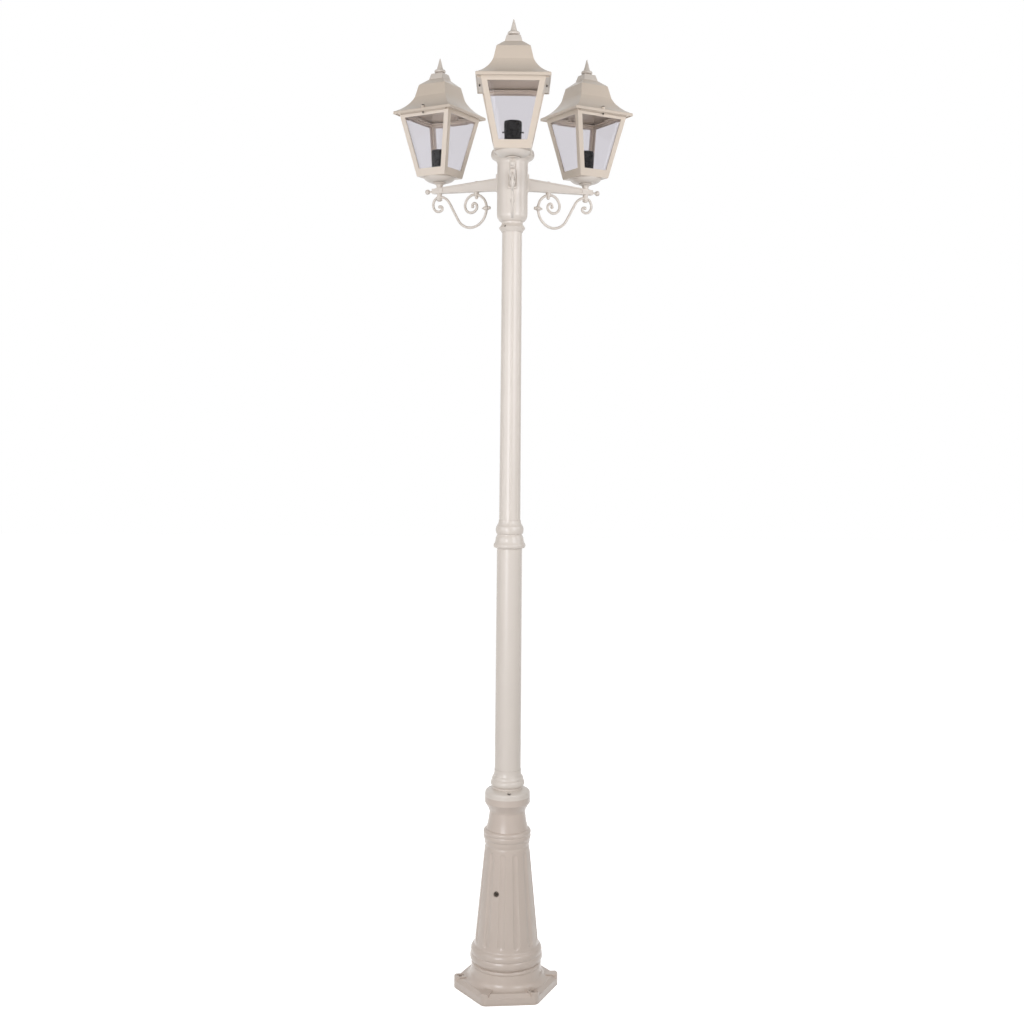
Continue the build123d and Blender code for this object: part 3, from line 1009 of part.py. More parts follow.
def make_roof_finial():
    turret = ROOF_TOP + TURRET_HEIGHT
    neck = turret + TURRET_NECK_HEIGHT
    bead = neck + FINIAL_BEAD_HEIGHT
    flat = FINIAL_BEAD_HEIGHT / 2 * 0.55                # the bead's round edge meets its flat faces here
    body = square_spire((ROOF_TOP_HALF, ROOF_TOP), (ROOF_TOP_HALF, ROOF_TOP + 2), (TURRET_TOP_HALF, turret))
    body += turned((0, ROOF_TOP + 1), (TURRET_NECK_RADIUS, ROOF_TOP + 1), (TURRET_NECK_RADIUS, turret),
                   (TURRET_NECK_RADIUS, neck), (FINIAL_BEAD_RADIUS - flat, neck),
                   (FINIAL_BEAD_RADIUS - flat, bead, flat), (SPIKE_FOOT_RADIUS, bead + 1),
                   (SPIKE_TIP_RADIUS, bead + SPIKE_HEIGHT - SPIKE_TIP_RADIUS), (0, bead + SPIKE_HEIGHT))
    return body + rod(FINIAL_STUD_RADIUS, ROOF_TOP - FINIAL_STUD_LENGTH, ROOF_TOP + 2)


# ---------------------------------------------------------------- assembly
def write(name, shape):
    """One STEP file per named piece; a list is a group of separate solids."""
    if isinstance(shape, list):
        shape = Compound(children=[s.solid() if len(s.solids()) == 1 else s for s in shape])
    export_step(shape, os.path.join("parts", name + ".step"))


def main():
    os.makedirs("parts", exist_ok=True)
    write("base_casting", make_base_casting())
    write("earth_screw", make_earth_screw())
    write("terminal_block", make_terminal_block())
    write("foot_collar", make_foot_collar())
    write("foot_collar_screws", make_foot_collar_screws())
    write("lower_pole", make_lower_pole())
    write("mid_collar", make_mid_collar())
    write("upper_pole", make_upper_pole())
    write("pole_ring", make_pole_ring())
    write("ring_grub_screw", make_ring_grub_screw())
    write("column", make_column())
    write("column_cap", make_column_cap())

    bar = make_bar()
    on_arm = {"arm": make_arm(), "ball_finial": make_ball_finial(), "scroll": make_scroll(bar),
              "scroll_knob": make_scroll_knob()}
    on_lantern = {"stem": make_stem(), "dish": make_dish(), "lantern_frame": make_frame(),
                  "glass": make_glass(), "lampholder": make_lampholder(), "lamp_socket": make_lamp_socket(),
                  "holder_screws": make_holder_screws(), "roof": make_roof(),
                  "roof_screws": make_roof_screws(), "roof_finial": make_roof_finial()}
    arm_bolts, scroll_fixings, rod_nuts = [], [], []
    for name, azimuth in zip(ARM_NAMES, around(len(ARM_NAMES))):
        arm_place = facing(azimuth)
        lantern_place = arm_place * Pos(ARM_REACH, 0, 0)
        for piece, shape in on_arm.items():
            write(f"{piece}_{name}", arm_place * shape)
        for piece, shape in on_lantern.items():
            placed = [lantern_place * s for s in shape] if isinstance(shape, list) else lantern_place * shape
            write(f"{piece}_{name}", placed)
        arm_bolts += [arm_place * bolt for bolt in make_arm_bolts()]
        scroll_fixings += [arm_place * make_scroll_screw(), arm_place * make_scroll_nut()]
        rod_nuts += [lantern_place * nut for nut in make_rod_nuts()]
    write("arm_bolts", arm_bolts)
    write("scroll_fixings", scroll_fixings)
    write("rod_nuts", rod_nuts)


main()
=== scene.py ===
# %% [markdown]
# # A triple head lamp post
#
# The post is a stack of castings and tubes with one cream powder coat, three scrolled arms and three
# square lanterns. The construction comes ready made: every casting and tube is loaded at its real place
# and size, in metres, with +Z up and the front arm pointing along -Y. This lesson gives those castings
# their finish and replaces what a camera comes close to: the panes get a ground bevel, the lampholders
# get ribs and a bead, and their brass screw shells get a rolled thread.

import bpy
import numpy as np
from mathutils import Matrix, Vector


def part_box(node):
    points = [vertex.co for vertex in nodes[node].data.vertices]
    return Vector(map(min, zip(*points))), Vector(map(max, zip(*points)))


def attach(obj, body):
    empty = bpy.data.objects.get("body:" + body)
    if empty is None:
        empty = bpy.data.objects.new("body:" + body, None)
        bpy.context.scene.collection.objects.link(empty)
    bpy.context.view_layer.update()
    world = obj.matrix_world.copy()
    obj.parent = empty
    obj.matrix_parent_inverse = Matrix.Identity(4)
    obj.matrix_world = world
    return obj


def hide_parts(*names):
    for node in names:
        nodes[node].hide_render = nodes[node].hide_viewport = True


MM = 0.001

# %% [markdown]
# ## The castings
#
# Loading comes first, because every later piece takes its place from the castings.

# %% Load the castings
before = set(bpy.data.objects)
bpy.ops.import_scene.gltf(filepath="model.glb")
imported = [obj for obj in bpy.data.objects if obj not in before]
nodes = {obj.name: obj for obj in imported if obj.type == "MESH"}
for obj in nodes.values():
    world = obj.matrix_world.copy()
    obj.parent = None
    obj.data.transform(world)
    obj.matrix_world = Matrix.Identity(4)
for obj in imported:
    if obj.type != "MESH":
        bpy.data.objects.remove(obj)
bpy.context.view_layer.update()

# %% [markdown]
# ## The camera
#
# A tall thin object shows its perspective in two ways: the lanterns are seen from below and the base from
# above. So the camera stands at a height between them. Its place was found by matching the edges of the
# post, the roofs and the base plate, which gives a distance, a height and three small angles.

# %% Camera
CAMERA_DISTANCE = 3.505
CAMERA_HEIGHT = 1.590
CAMERA_PITCH = np.radians(-4.01)
CAMERA_YAW = np.radians(0.10)
CAMERA_ROLL = np.radians(0.48)
FOCAL_PIXELS = 1272.7
PICTURE_PIXELS = 1024
SENSOR_MM = 36.0


def camera_axes(yaw, pitch, roll):
    """Columns right, up and back: the view direction is turned by yaw and pitch, then rolled about itself."""
    forward = np.array([np.sin(yaw) * np.cos(pitch), np.cos(yaw) * np.cos(pitch), np.sin(pitch)])
    level = np.array([np.cos(yaw), -np.sin(yaw), 0.0])
    up = np.cross(level, forward)
    right = level * np.cos(roll) + up * np.sin(roll)
    return np.column_stack([right, np.cross(right, forward), -forward])


camera_data = bpy.data.cameras.new("camera")
camera_data.sensor_width = SENSOR_MM
camera_data.lens = FOCAL_PIXELS / PICTURE_PIXELS * SENSOR_MM
camera_data.clip_end = 100
camera = bpy.data.objects.new("camera", camera_data)
bpy.context.scene.collection.objects.link(camera)
turn = Matrix(camera_axes(CAMERA_YAW, CAMERA_PITCH, CAMERA_ROLL).tolist()).to_4x4()
camera.matrix_world = Matrix.Translation((0, -CAMERA_DISTANCE, CAMERA_HEIGHT)) @ turn
bpy.context.scene.camera = camera
bpy.context.scene.view_settings.view_transform = "Standard"
print("lens", round(camera_data.lens, 2), "mm")

# %% [markdown]
# ## The white room
#
# The room gives little light, less from its ceiling than from its walls, so that surfaces that face up fall
# into softer tones. Seen by the camera, in gloss or through glass the room is white. A Light Path node tells
# the two uses apart, and this is how the background is white while the coat keeps its colour.

# %% World
WALLS_AS_LAMP = 0.72
CEILING_AS_LAMP = 0.14
WALLS_END = 0.05                        # heights, as the upward share of a direction, between which
CEILING_STARTS = 0.6                    # the walls turn into the ceiling
ROOM_WARMTH = (1.0, 0.94, 0.86, 1.0)
WHITE = (1, 1, 1, 1)


def new_nodes(owner):
    """Switch an owner to nodes and empty its tree."""
    owner.use_nodes = True
    owner.node_tree.nodes.clear()
    return owner.node_tree


def seen_directly(tree):
    """Socket that is 1 for camera, glossy and transmission rays and 0 for the others."""
    path = tree.nodes.new("ShaderNodeLightPath")
    total = path.outputs["Is Camera Ray"]
    for name in ("Is Glossy Ray", "Is Transmission Ray"):
        either = tree.nodes.new("ShaderNodeMath")
        either.operation = "MAXIMUM"
        tree.links.new(total, either.inputs[0])
        tree.links.new(path.outputs[name], either.inputs[1])
        total = either.outputs[0]
    return total


def ramp(tree, value, low, high, out_low, out_high):
    """Straight ramp from one range of values to another, clamped at both ends."""
    node = tree.nodes.new("ShaderNodeMapRange")
    for name, number in (("From Min", low), ("From Max", high), ("To Min", out_low), ("To Max", out_high)):
        node.inputs[name].default_value = number
    tree.links.new(value, node.inputs["Value"])
    return node.outputs["Result"]


world = bpy.data.worlds.new("white_room")
bpy.context.scene.world = world
tree = new_nodes(world)
split = tree.nodes.new("ShaderNodeSeparateXYZ")
tree.links.new(tree.nodes.new("ShaderNodeTexCoord").outputs["Generated"], split.inputs[0])
strength = ramp(tree, split.outputs["Z"], WALLS_END, CEILING_STARTS, WALLS_AS_LAMP, CEILING_AS_LAMP)
as_lamp = tree.nodes.new("ShaderNodeBackground")
as_lamp.inputs["Color"].default_value = ROOM_WARMTH
tree.links.new(strength, as_lamp.inputs["Strength"])
as_seen = tree.nodes.new("ShaderNodeBackground")
as_seen.inputs["Color"].default_value = WHITE
either = tree.nodes.new("ShaderNodeMixShader")
output = tree.nodes.new("ShaderNodeOutputWorld")
tree.links.new(seen_directly(tree), either.inputs["Fac"])
tree.links.new(as_lamp.outputs[0], either.inputs[1])
tree.links.new(as_seen.outputs[0], either.inputs[2])
tree.links.new(either.outputs[0], output.inputs["Surface"])
print("room light: walls", WALLS_AS_LAMP, "ceiling", CEILING_AS_LAMP)

# %% [markdown]
# ## Soft boxes
#
# Two tall soft boxes stand one each side of the camera. They draw two upright highlights on every tube and
# bead, and because their middles are lower than the roofs and higher than the base, the roofs' slopes and the
# base plate fall into softer tones. Two weaker boxes at the sides lift the edges of the tubes. Two more
# behind the post light its back and show in no gloss. No box is seen by the camera or through glass.

# %% Hang the boxes
BOX_DISTANCE = 2.55
BOX_COLOUR = (0.98, 1.0, 1.06)
SOFT_BOXES = (
    # name, azimuth in degrees from the camera's side, height of its middle, width, length, watts
    ("soft_box_left", -24, 1.50, 0.9, 1.6, 29.5),
    ("soft_box_right", 40, 2.20, 0.9, 1.6, 26.0),
    ("side_box_left", -63, 1.95, 0.9, 1.6, 12.0),
    ("side_box_right", 82, 2.30, 0.6, 1.2, 9.0),
    ("back_box_left", -160, 1.50, 0.9, 1.6, 19.0),
    ("back_box_right", 158, 2.20, 0.9, 1.6, 9.0),
)
for name, azimuth, height, width, length, watts in SOFT_BOXES:
    data = bpy.data.lights.new(name, "AREA")
    data.shape = "RECTANGLE"
    data.size = width
    data.size_y = length
    data.energy = watts
    data.color = BOX_COLOUR
    lamp = bpy.data.objects.new(name, data)
    angle = np.radians(azimuth)
    place = Vector((BOX_DISTANCE * np.sin(angle), -BOX_DISTANCE * np.cos(angle), height))
    lamp.location = place
    lamp.rotation_euler = (Vector((0, 0, height)) - place).to_track_quat("-Z", "Y").to_euler()
    bpy.context.scene.collection.objects.link(lamp)
    lamp.visible_camera = False
    lamp.visible_transmission = False
    lamp.visible_glossy = not name.startswith("back")
print(len(SOFT_BOXES), "soft boxes")

# %% [markdown]
# ## The floor
#
# The post stands on a wide pale floor. Its grey paint decides how much light comes up under the roofs and
# arms. To the camera, in gloss and through glass the same floor also glows, so that it is as white as the
# room. The glow lights nothing, because Light Path leaves it out of the floor's light on the post.


# %% Mesh helper
def mesh_object(name, points, faces, smooth=True):
    """Object from an array of points and a list of faces, with its place in its mesh."""
    mesh = bpy.data.meshes.new(name)
    mesh.from_pydata(np.asarray(points, float).tolist(), [], [list(map(int, face)) for face in faces])
    mesh.validate()
    mesh.polygons.foreach_set("use_smooth", [smooth] * len(mesh.polygons))
    mesh.update()
    obj = bpy.data.objects.new(name, mesh)
    bpy.context.scene.collection.objects.link(obj)
    return obj


# %% Floor
FLOOR_HALF = 14.0
FLOOR_GREY = 0.58                       # what the floor sends up to the object
FLOOR_LIFT = 0.90                       # emission for the camera, so that the lit floor is white
FLOOR_ROUGHNESS = 0.9
floor_corners = [(-FLOOR_HALF, -FLOOR_HALF, 0), (FLOOR_HALF, -FLOOR_HALF, 0),
                 (FLOOR_HALF, FLOOR_HALF, 0), (-FLOOR_HALF, FLOOR_HALF, 0)]
floor = mesh_object("floor", floor_corners, [(0, 1, 2, 3)], False)
floor_paint = bpy.data.materials.new("floor_paint")
tree = new_nodes(floor_paint)
shader = tree.nodes.new("ShaderNodeBsdfPrincipled")
shader.inputs["Base Color"].default_value = (FLOOR_GREY, FLOOR_GREY, FLOOR_GREY, 1)
shader.inputs["Roughness"].default_value = FLOOR_ROUGHNESS
shader.inputs["Specular IOR Level"].default_value = 0.0
shader.inputs["Emission Color"].default_value = WHITE
lift = tree.nodes.new("ShaderNodeMath")
lift.operation = "MULTIPLY"
lift.inputs[1].default_value = FLOOR_LIFT
tree.links.new(seen_directly(tree), lift.inputs[0])
tree.links.new(lift.outputs[0], shader.inputs["Emission Strength"])
output = tree.nodes.new("ShaderNodeOutputMaterial")
tree.links.new(shader.outputs[0], output.inputs["Surface"])
floor.data.materials.append(floor_paint)
print("floor", 2 * FLOOR_HALF, "m across")

# %% [markdown]
# ## Colours
#
# Colours are easiest to pick as screen values from 0 to 255, but a shader adds up light, so it needs the
# linear value. The base's cream is the same cream painted a little darker, as shade for its lower light, and
# the sheet metal of roofs and frames gets it painted darker and yellower, as the warm shade on the roofs.
# Each cream has a deeper tone, painted as shade into its hollows.


# %% Creams
def srgb(red, green, blue):
    """Linear colour from 0..255 screen values: divide by 255, then undo the screen's gamma curve."""
    value = np.array([red, green, blue]) / 255
    linear = np.where(value <= 0.04045, value / 12.92, ((value + 0.055) / 1.055) ** 2.4)
    return (*linear.tolist(), 1.0)


CREAM = srgb(213, 204, 194)
# painted shade: each deeper tone is mixed into the hollows of its coat
CREAM_HOLLOW_SHADE = srgb(150, 133, 116)
# painted shade: the base's cream is the main cream made darker for the base's lower light
BASE_SHADED_CREAM = srgb(199, 185, 173)
BASE_HOLLOW_SHADE = srgb(138, 118, 100)
# painted shade: the sheet's cream is the main cream made darker and yellower, as warm shade on the roofs
SHEET_SHADED_CREAM = srgb(208, 194, 178)
SHEET_HOLLOW_SHADE = srgb(150, 130, 108)
PALER = 1.03                            # palest patches of a coat, as a share of its main tone
print("three creams, each with a deeper tone")

# %% [markdown]
# ## Small node helpers
#
# A finish is built from few moves: read a noise, mix two colours by it, and let another noise push the
# surface in and out as a bump. Noise is read in object coordinates, which are metres here, so its scale is
# a number of waves per metre and stays the same on a large casting and a small screw.

# %% Node helpers
COLOUR_A, COLOUR_B = 6, 7               # places of the two colours among a Mix node's inputs
MIXED_COLOUR = 2                        # and of their mix among its outputs


def noise(tree, coordinate, scale, detail=2.0, roughness=0.5):
    """Noise texture whose scale is waves per metre, read in object coordinates."""
    texture = tree.nodes.new("ShaderNodeTexNoise")
    texture.inputs["Scale"].default_value = scale
    texture.inputs["Detail"].default_value = detail
    texture.inputs["Roughness"].default_value = roughness
    tree.links.new(coordinate, texture.inputs["Vector"])
    return texture.outputs["Fac"]


def mix_colour(tree, factor, first, second):
    """Mix of two colours; each is a socket or a fixed colour."""
    node = tree.nodes.new("ShaderNodeMix")
    node.data_type = "RGBA"
    tree.links.new(factor, node.inputs["Factor"])
    for place, colour in ((COLOUR_A, first), (COLOUR_B, second)):
        if isinstance(colour, tuple):
            node.inputs[place].default_value = colour
        else:
            tree.links.new(colour, node.inputs[place])
    return node.outputs[MIXED_COLOUR]


def new_material(name):
    """Material with a Principled shader, its output and a socket of object coordinates."""
    material = bpy.data.materials.new(name)
    tree = new_nodes(material)
    shader = tree.nodes.new("ShaderNodeBsdfPrincipled")
    output = tree.nodes.new("ShaderNodeOutputMaterial")
    tree.links.new(shader.outputs[0], output.inputs["Surface"])
    coordinate = tree.nodes.new("ShaderNodeTexCoord").outputs["Object"]
    return material, tree, shader, coordinate


def add_bump(tree, shader, height, depth):
    """Bump from a height socket, on top of any bump before it; depth is the surface's move in metres."""
    node = tree.nodes.new("ShaderNodeBump")
    node.inputs["Strength"].default_value = 1.0
    node.inputs["Distance"].default_value = depth
    tree.links.new(height, node.inputs["Height"])
    if shader.inputs["Normal"].is_linked:
        tree.links.new(shader.inputs["Normal"].links[0].from_socket, node.inputs["Normal"])
    tree.links.new(node.outputs["Normal"], shader.inputs["Normal"])


# %% [markdown]
# ## The cream powder coat
#
# Powder coat is baked plastic on metal. It has one even colour, a soft gloss and the fine waves called
# orange peel. The waves are a bump from two sizes of noise. Where ambient occlusion finds hollows, the colour
# is painted deeper, as painted shade.
# A drawn tube is smoother than a casting, and folded sheet lies between them, so one recipe takes the tones,
# the gloss and the depth of the waves as values, and makes four grades of coat.

# %% Powder coat recipe
PATCHES = 9.0                           # waves per metre of the slow colour drift
GLOSS_PATCHES = 60.0                    # of the drift in gloss
SLOW_WAVES = 28.0                       # of the casting's own unevenness
PEEL_WAVES = 420.0                      # of the orange peel
COAT_IOR = 1.5


def powder_coat(name, tones, roughness, gloss_share, peel, unevenness, shade_reach, shade_share):
    """Coat of two tones, the deeper one painted as shade into hollows, under a gloss layer, with peel and
    unevenness as bump.
    """
    material, tree, shader, coordinate = new_material(name)
    main, hollow_shade_tone = tones
    pale = tuple(channel * PALER for channel in main[:3]) + (1.0,)
    tone = noise(tree, coordinate, PATCHES, 3.0)
    base = mix_colour(tree, ramp(tree, tone, 0.3, 0.7, 0.0, 1.0), main, pale)
    # painted shade: where ambient occlusion finds a hollow, the colour is pulled towards the shade tone
    painted_hollow_shade = tree.nodes.new("ShaderNodeAmbientOcclusion")
    painted_hollow_shade.samples = 6
    painted_hollow_shade.inputs["Distance"].default_value = shade_reach
    depth = ramp(tree, painted_hollow_shade.outputs["AO"], 0.35, 0.85, shade_share, 0.0)
    tree.links.new(mix_colour(tree, depth, base, hollow_shade_tone), shader.inputs["Base Color"])
    gloss = noise(tree, coordinate, GLOSS_PATCHES, 2.0)
    gloss = ramp(tree, gloss, 0.3, 0.7, roughness - 0.03, roughness + 0.04)
    tree.links.new(gloss, shader.inputs["Roughness"])
    shader.inputs["IOR"].default_value = COAT_IOR
    shader.inputs["Coat Weight"].default_value = gloss_share
    shader.inputs["Coat Roughness"].default_value = roughness * 0.6
    add_bump(tree, shader, noise(tree, coordinate, SLOW_WAVES, 2.0), unevenness)
    add_bump(tree, shader, noise(tree, coordinate, PEEL_WAVES, 2.0), peel)
    return material


# %% Four grades of coat
base_coat_shaded = powder_coat("base_coat_shaded", (BASE_SHADED_CREAM, BASE_HOLLOW_SHADE), roughness=0.36, gloss_share=0.55,
                        peel=0.04 * MM, unevenness=0.16 * MM, shade_reach=14 * MM, shade_share=0.45)
cast_coat = powder_coat("cast_coat", (CREAM, CREAM_HOLLOW_SHADE), roughness=0.4, gloss_share=0.5,
                        peel=0.05 * MM, unevenness=0.25 * MM, shade_reach=14 * MM, shade_share=0.4)
tube_coat = powder_coat("tube_coat", (CREAM, CREAM_HOLLOW_SHADE), roughness=0.44, gloss_share=0.6,
                        peel=0.02 * MM, unevenness=0.06 * MM, shade_reach=10 * MM, shade_share=0.3)
sheet_coat_shaded = powder_coat("sheet_coat_shaded", (SHEET_SHADED_CREAM, SHEET_HOLLOW_SHADE), roughness=0.38, gloss_share=0.6,
                         peel=0.03 * MM, unevenness=0.2 * MM, shade_reach=10 * MM, shade_share=0.25)
print("four grades of powder coat")

# %% [markdown]
# ## Steel, brass, moulded plastic and glass
#
# The screws are blackened steel: dark, half rough, with a few worn places. The screw shell of a lampholder
# is thin brass. The holder itself is a black moulding with a fine satin grain, and the terminal block in the
# base is the same kind of plastic in white. The panes are clear glass with a faint lavender tint.

# %% Small finishes
PLASTIC_SHINE = 0.18                    # mirror strength of the moulding, below the usual 0.5
PANE_TINT = (0.802, 0.788, 0.812, 1)
PANE_IOR = 1.22                         # below real glass, so that reflections stay faint on the panes


def blackened_steel(name):
    """Blackened steel: near black metal whose roughness and colour drift with noise."""
    material, tree, shader, coordinate = new_material(name)
    wear = noise(tree, coordinate, 240.0, 4.0, 0.6)
    colour = mix_colour(tree, ramp(tree, wear, 0.5, 0.72, 0.0, 1.0), srgb(58, 52, 46), srgb(124, 114, 102))
    tree.links.new(colour, shader.inputs["Base Color"])
    shader.inputs["Metallic"].default_value = 0.9
    tree.links.new(ramp(tree, wear, 0.3, 0.7, 0.3, 0.5), shader.inputs["Roughness"])
    add_bump(tree, shader, wear, 0.05 * MM)
    return material


def rolled_brass(name):
    """Rolled brass: warm metal, slightly dulled in patches."""
    material, tree, shader, coordinate = new_material(name)
    dull = noise(tree, coordinate, 180.0, 3.0)
    colour = mix_colour(tree, ramp(tree, dull, 0.35, 0.7, 0.0, 1.0), srgb(206, 172, 104), srgb(164, 130, 76))
    tree.links.new(colour, shader.inputs["Base Color"])
    shader.inputs["Metallic"].default_value = 1.0
    tree.links.new(ramp(tree, dull, 0.3, 0.7, 0.22, 0.4), shader.inputs["Roughness"])
    add_bump(tree, shader, dull, 0.03 * MM)
    return material


def moulded_plastic(name, colour, roughness):
    """Moulded plastic: satin, with a fine grain and a faint flow pattern of slightly paler streaks."""
    material, tree, shader, coordinate = new_material(name)
    flow = noise(tree, coordinate, 90.0, 3.0)
    pale = tuple(min(1.0, channel * 1.5 + 0.004) for channel in colour[:3]) + (1.0,)
    streaks = mix_colour(tree, ramp(tree, flow, 0.4, 0.7, 0.0, 1.0), colour, pale)
    tree.links.new(streaks, shader.inputs["Base Color"])
    tree.links.new(ramp(tree, flow, 0.3, 0.7, roughness - 0.04, roughness + 0.05), shader.inputs["Roughness"])
    shader.inputs["Specular IOR Level"].default_value = PLASTIC_SHINE
    add_bump(tree, shader, noise(tree, coordinate, 1400.0, 2.0), 0.02 * MM)
    return material


def lavender_glass(name):
    """Clear plate glass: full transmission with a faint tint at each face and very slight waves."""
    material, tree, shader, coordinate = new_material(name)
    shader.inputs["Base Color"].default_value = PANE_TINT
    shader.inputs["Roughness"].default_value = 0.0
    shader.inputs["IOR"].default_value = PANE_IOR
    shader.inputs["Transmission Weight"].default_value = 1.0
    add_bump(tree, shader, noise(tree, coordinate, 22.0, 1.0), 0.05 * MM)
    return material


steel = blackened_steel("dark_steel")
brass = rolled_brass("thin_brass")
black = moulded_plastic("black_moulding", srgb(14, 13, 13), 0.2)
terminal_white = moulded_plastic("terminal_white", srgb(214, 210, 198), 0.45)
glass = lavender_glass("lavender_glass")
print("steel, brass, two plastics and glass")

# %% [markdown]
# ## Who wears what
#
# The castings keep their shape and only get a finish. The lanterns come three times, so a node's kind is its
# name without the arm, and one table serves all three arms.

# %% Give every casting its finish
FINISHES = {
    "base_casting": base_coat_shaded, "foot_collar": cast_coat, "mid_collar": cast_coat, "pole_ring": cast_coat,
    "column": cast_coat, "column_cap": cast_coat, "arm": cast_coat, "ball_finial": cast_coat,
    "scroll": cast_coat, "scroll_knob": cast_coat, "stem": cast_coat, "dish": cast_coat,
    "roof_finial": cast_coat, "scroll_fixings": cast_coat, "lower_pole": tube_coat, "upper_pole": tube_coat,
    "lantern_frame": sheet_coat_shaded, "roof": sheet_coat_shaded, "glass": glass, "lampholder": black,
    "lamp_socket": brass, "terminal_block": terminal_white, "earth_screw": steel,
    "foot_collar_screws": steel, "ring_grub_screw": steel, "arm_bolts": steel, "rod_nuts": cast_coat,
    "roof_screws": steel, "holder_screws": steel,
}
ARMS = ("front", "right", "left")


def kind_of(node):
    """Name of a node without its arm."""
    stem, _, arm = node.rpartition("_")
    return stem if arm in ARMS else node


for name, obj in nodes.items():
    obj.data.materials.clear()
    obj.data.materials.append(FINISHES[kind_of(name)])
print(len(FINISHES), "kinds of castings and fittings dressed")

# %% [markdown]
# ## Rings and lofts
#
# Every new piece is a loft: a stack of closed rings of points joined by quads. A turned piece is a loft of
# circles, a pane is a loft of four-cornered rings, and a thread is a loft whose rings are waved by turn and
# height. One function joins the rings, so each piece only has to say where its points are.


# %% Loft
def loft_faces(rings, around, wrap=False, first=0):
    """Quads between neighbouring rings of an index grid that starts at first. An open stack gets two caps."""
    grid = np.arange(rings * around).reshape(rings, around) + first
    lower = grid if wrap else grid[:-1]
    upper = np.roll(grid, -1, axis=0) if wrap else grid[1:]
    quads = np.stack([lower, np.roll(lower, -1, axis=1), np.roll(upper, -1, axis=1), upper], axis=-1)
    faces = quads.reshape(-1, 4).tolist()
    if not wrap:
        faces.append(grid[0, ::-1].tolist())
        faces.append(grid[-1].tolist())
    return faces


def turned_points(profile, steps, ribs=0, rib_depth=0.0, ribbed_rows=None):
    """Lathe rings: each (radius, height) row is a circle, less rib_depth / 2 * (1 - cos(ribs * turn))."""
    profile = np.asarray(profile, float)
    angle = np.linspace(0, 2 * np.pi, steps, endpoint=False)
    weight = np.zeros(len(profile)) if ribbed_rows is None else np.asarray(ribbed_rows, float)
    radius = profile[:, :1] - rib_depth * weight[:, None] * (0.5 - 0.5 * np.cos(ribs * angle))[None]
    height = np.repeat(profile[:, 1:2], steps, axis=1)
    return np.stack([radius * np.cos(angle), radius * np.sin(angle), height], axis=-1)


def about_post(points, arm):
    """Points of the front lantern turned about the post to one of the three arms."""
    angle = 2 * np.pi / len(ARMS) * ARMS.index(arm)
    matrix = np.array([[np.cos(angle), -np.sin(angle), 0], [np.sin(angle), np.cos(angle), 0], [0, 0, 1]])
    return np.asarray(points) @ matrix.T


def finish_piece(obj, material, replaced):
    """Material of a piece that rides on the post and stands for a node, whose loaded node is hidden."""
    obj.data.materials.append(material)
    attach(obj, "post")
    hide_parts(replaced)


# %% [markdown]
# ## Bevelled panes
#
# Each pane is a trapezoid of plate glass whose outer face is ground down along the rim, so a bright line
# runs inside the frame. The pane is a loft of three four-cornered rings: the inner face, the thin edge and
# the flat middle of the outer face. The corners come from the loaded panes, so the glass stays in its rebate.

# %% Corners of a loaded pane
BEVEL_WIDTH = 14 * MM
BEVEL_EDGE = 0.4                        # thickness left at the rim, as a share of the full pane
EDGE_REACH = 0.1 * MM                   # points this near to the pane's top or bottom belong to that edge


def node_points(name):
    """Vertices of a loaded node as an array."""
    mesh = nodes[name].data
    flat = np.empty(len(mesh.vertices) * 3)
    mesh.vertices.foreach_get("co", flat)
    return flat.reshape(-1, 3)


stem_low, stem_high = (np.array(corner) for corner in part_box("stem_front"))
lantern_axis = (stem_low + stem_high) / 2 * [1, 1, 0]
pane = node_points("glass_front") - lantern_axis
pane = pane[pane[:, 0] > np.abs(pane[:, 1])]
pane_foot = pane[pane[:, 2] < pane[:, 2].min() + EDGE_REACH]
pane_head = pane[pane[:, 2] > pane[:, 2].max() - EDGE_REACH]
print("lantern axis", np.round(lantern_axis, 4), "m")

# %% [markdown]
# The four panes of a lantern are the same pane, turned by quarter turns about the lantern's axis. An inset
# corner moves along the slope by the inset, and sideways by a little more, because the side edge leans.


# %% Panes
def pane_corners(inset, share):
    """Four corners of the pane, inset along its rim, at a share of the way from inner to outer face."""
    rows = []
    for edge in (pane_foot, pane_head):
        depth = edge[:, 0].min() + (edge[:, 0].max() - edge[:, 0].min()) * share
        half = np.abs(edge[:, 1]).max()
        rows.append(np.array([depth, half, edge[:, 2].mean()]))
    foot, head = rows
    rise = (head - foot) / (head[2] - foot[2]) * inset
    spread = inset * np.hypot(1, rise[1] / inset if inset else 0)
    foot = foot + rise - [0, spread, 0]
    head = head - rise - [0, spread, 0]
    flip = np.array([1, -1, 1])
    return np.array([foot * flip, foot, head, head * flip])


pane_rings = np.array([pane_corners(0, 0), pane_corners(0, BEVEL_EDGE), pane_corners(BEVEL_WIDTH, 1)])
pane_points = []
pane_faces = []
for quarter in range(4):
    cos, sin = np.cos(np.pi / 2 * quarter), np.sin(np.pi / 2 * quarter)
    turned = pane_rings.reshape(-1, 3) @ np.array([[cos, sin, 0], [-sin, cos, 0], [0, 0, 1]])
    pane_points.append(turned + lantern_axis)
    pane_faces += loft_faces(*pane_rings.shape[:2], first=len(turned) * quarter)
for arm in ARMS:
    obj = mesh_object(f"panes_{arm}", about_post(np.concatenate(pane_points), arm), pane_faces, smooth=False)
    finish_piece(obj, glass, f"glass_{arm}")
    obj.visible_shadow = False
print("twelve panes,", round(float(np.ptp(pane_rings[0][:, 2])) / MM, 1), "mm tall")

# %% [markdown]
# ## Lampholders
#
# The holder is a black moulding: a ribbed cap below, a small bead in a groove, then a smooth skirt with a
# rounded rim round its mouth. It is turned from one closed profile, from the rod's entry at its foot, up the
# outside and down into the well. The rows of the cap get ribs, so that a hand can grip it.

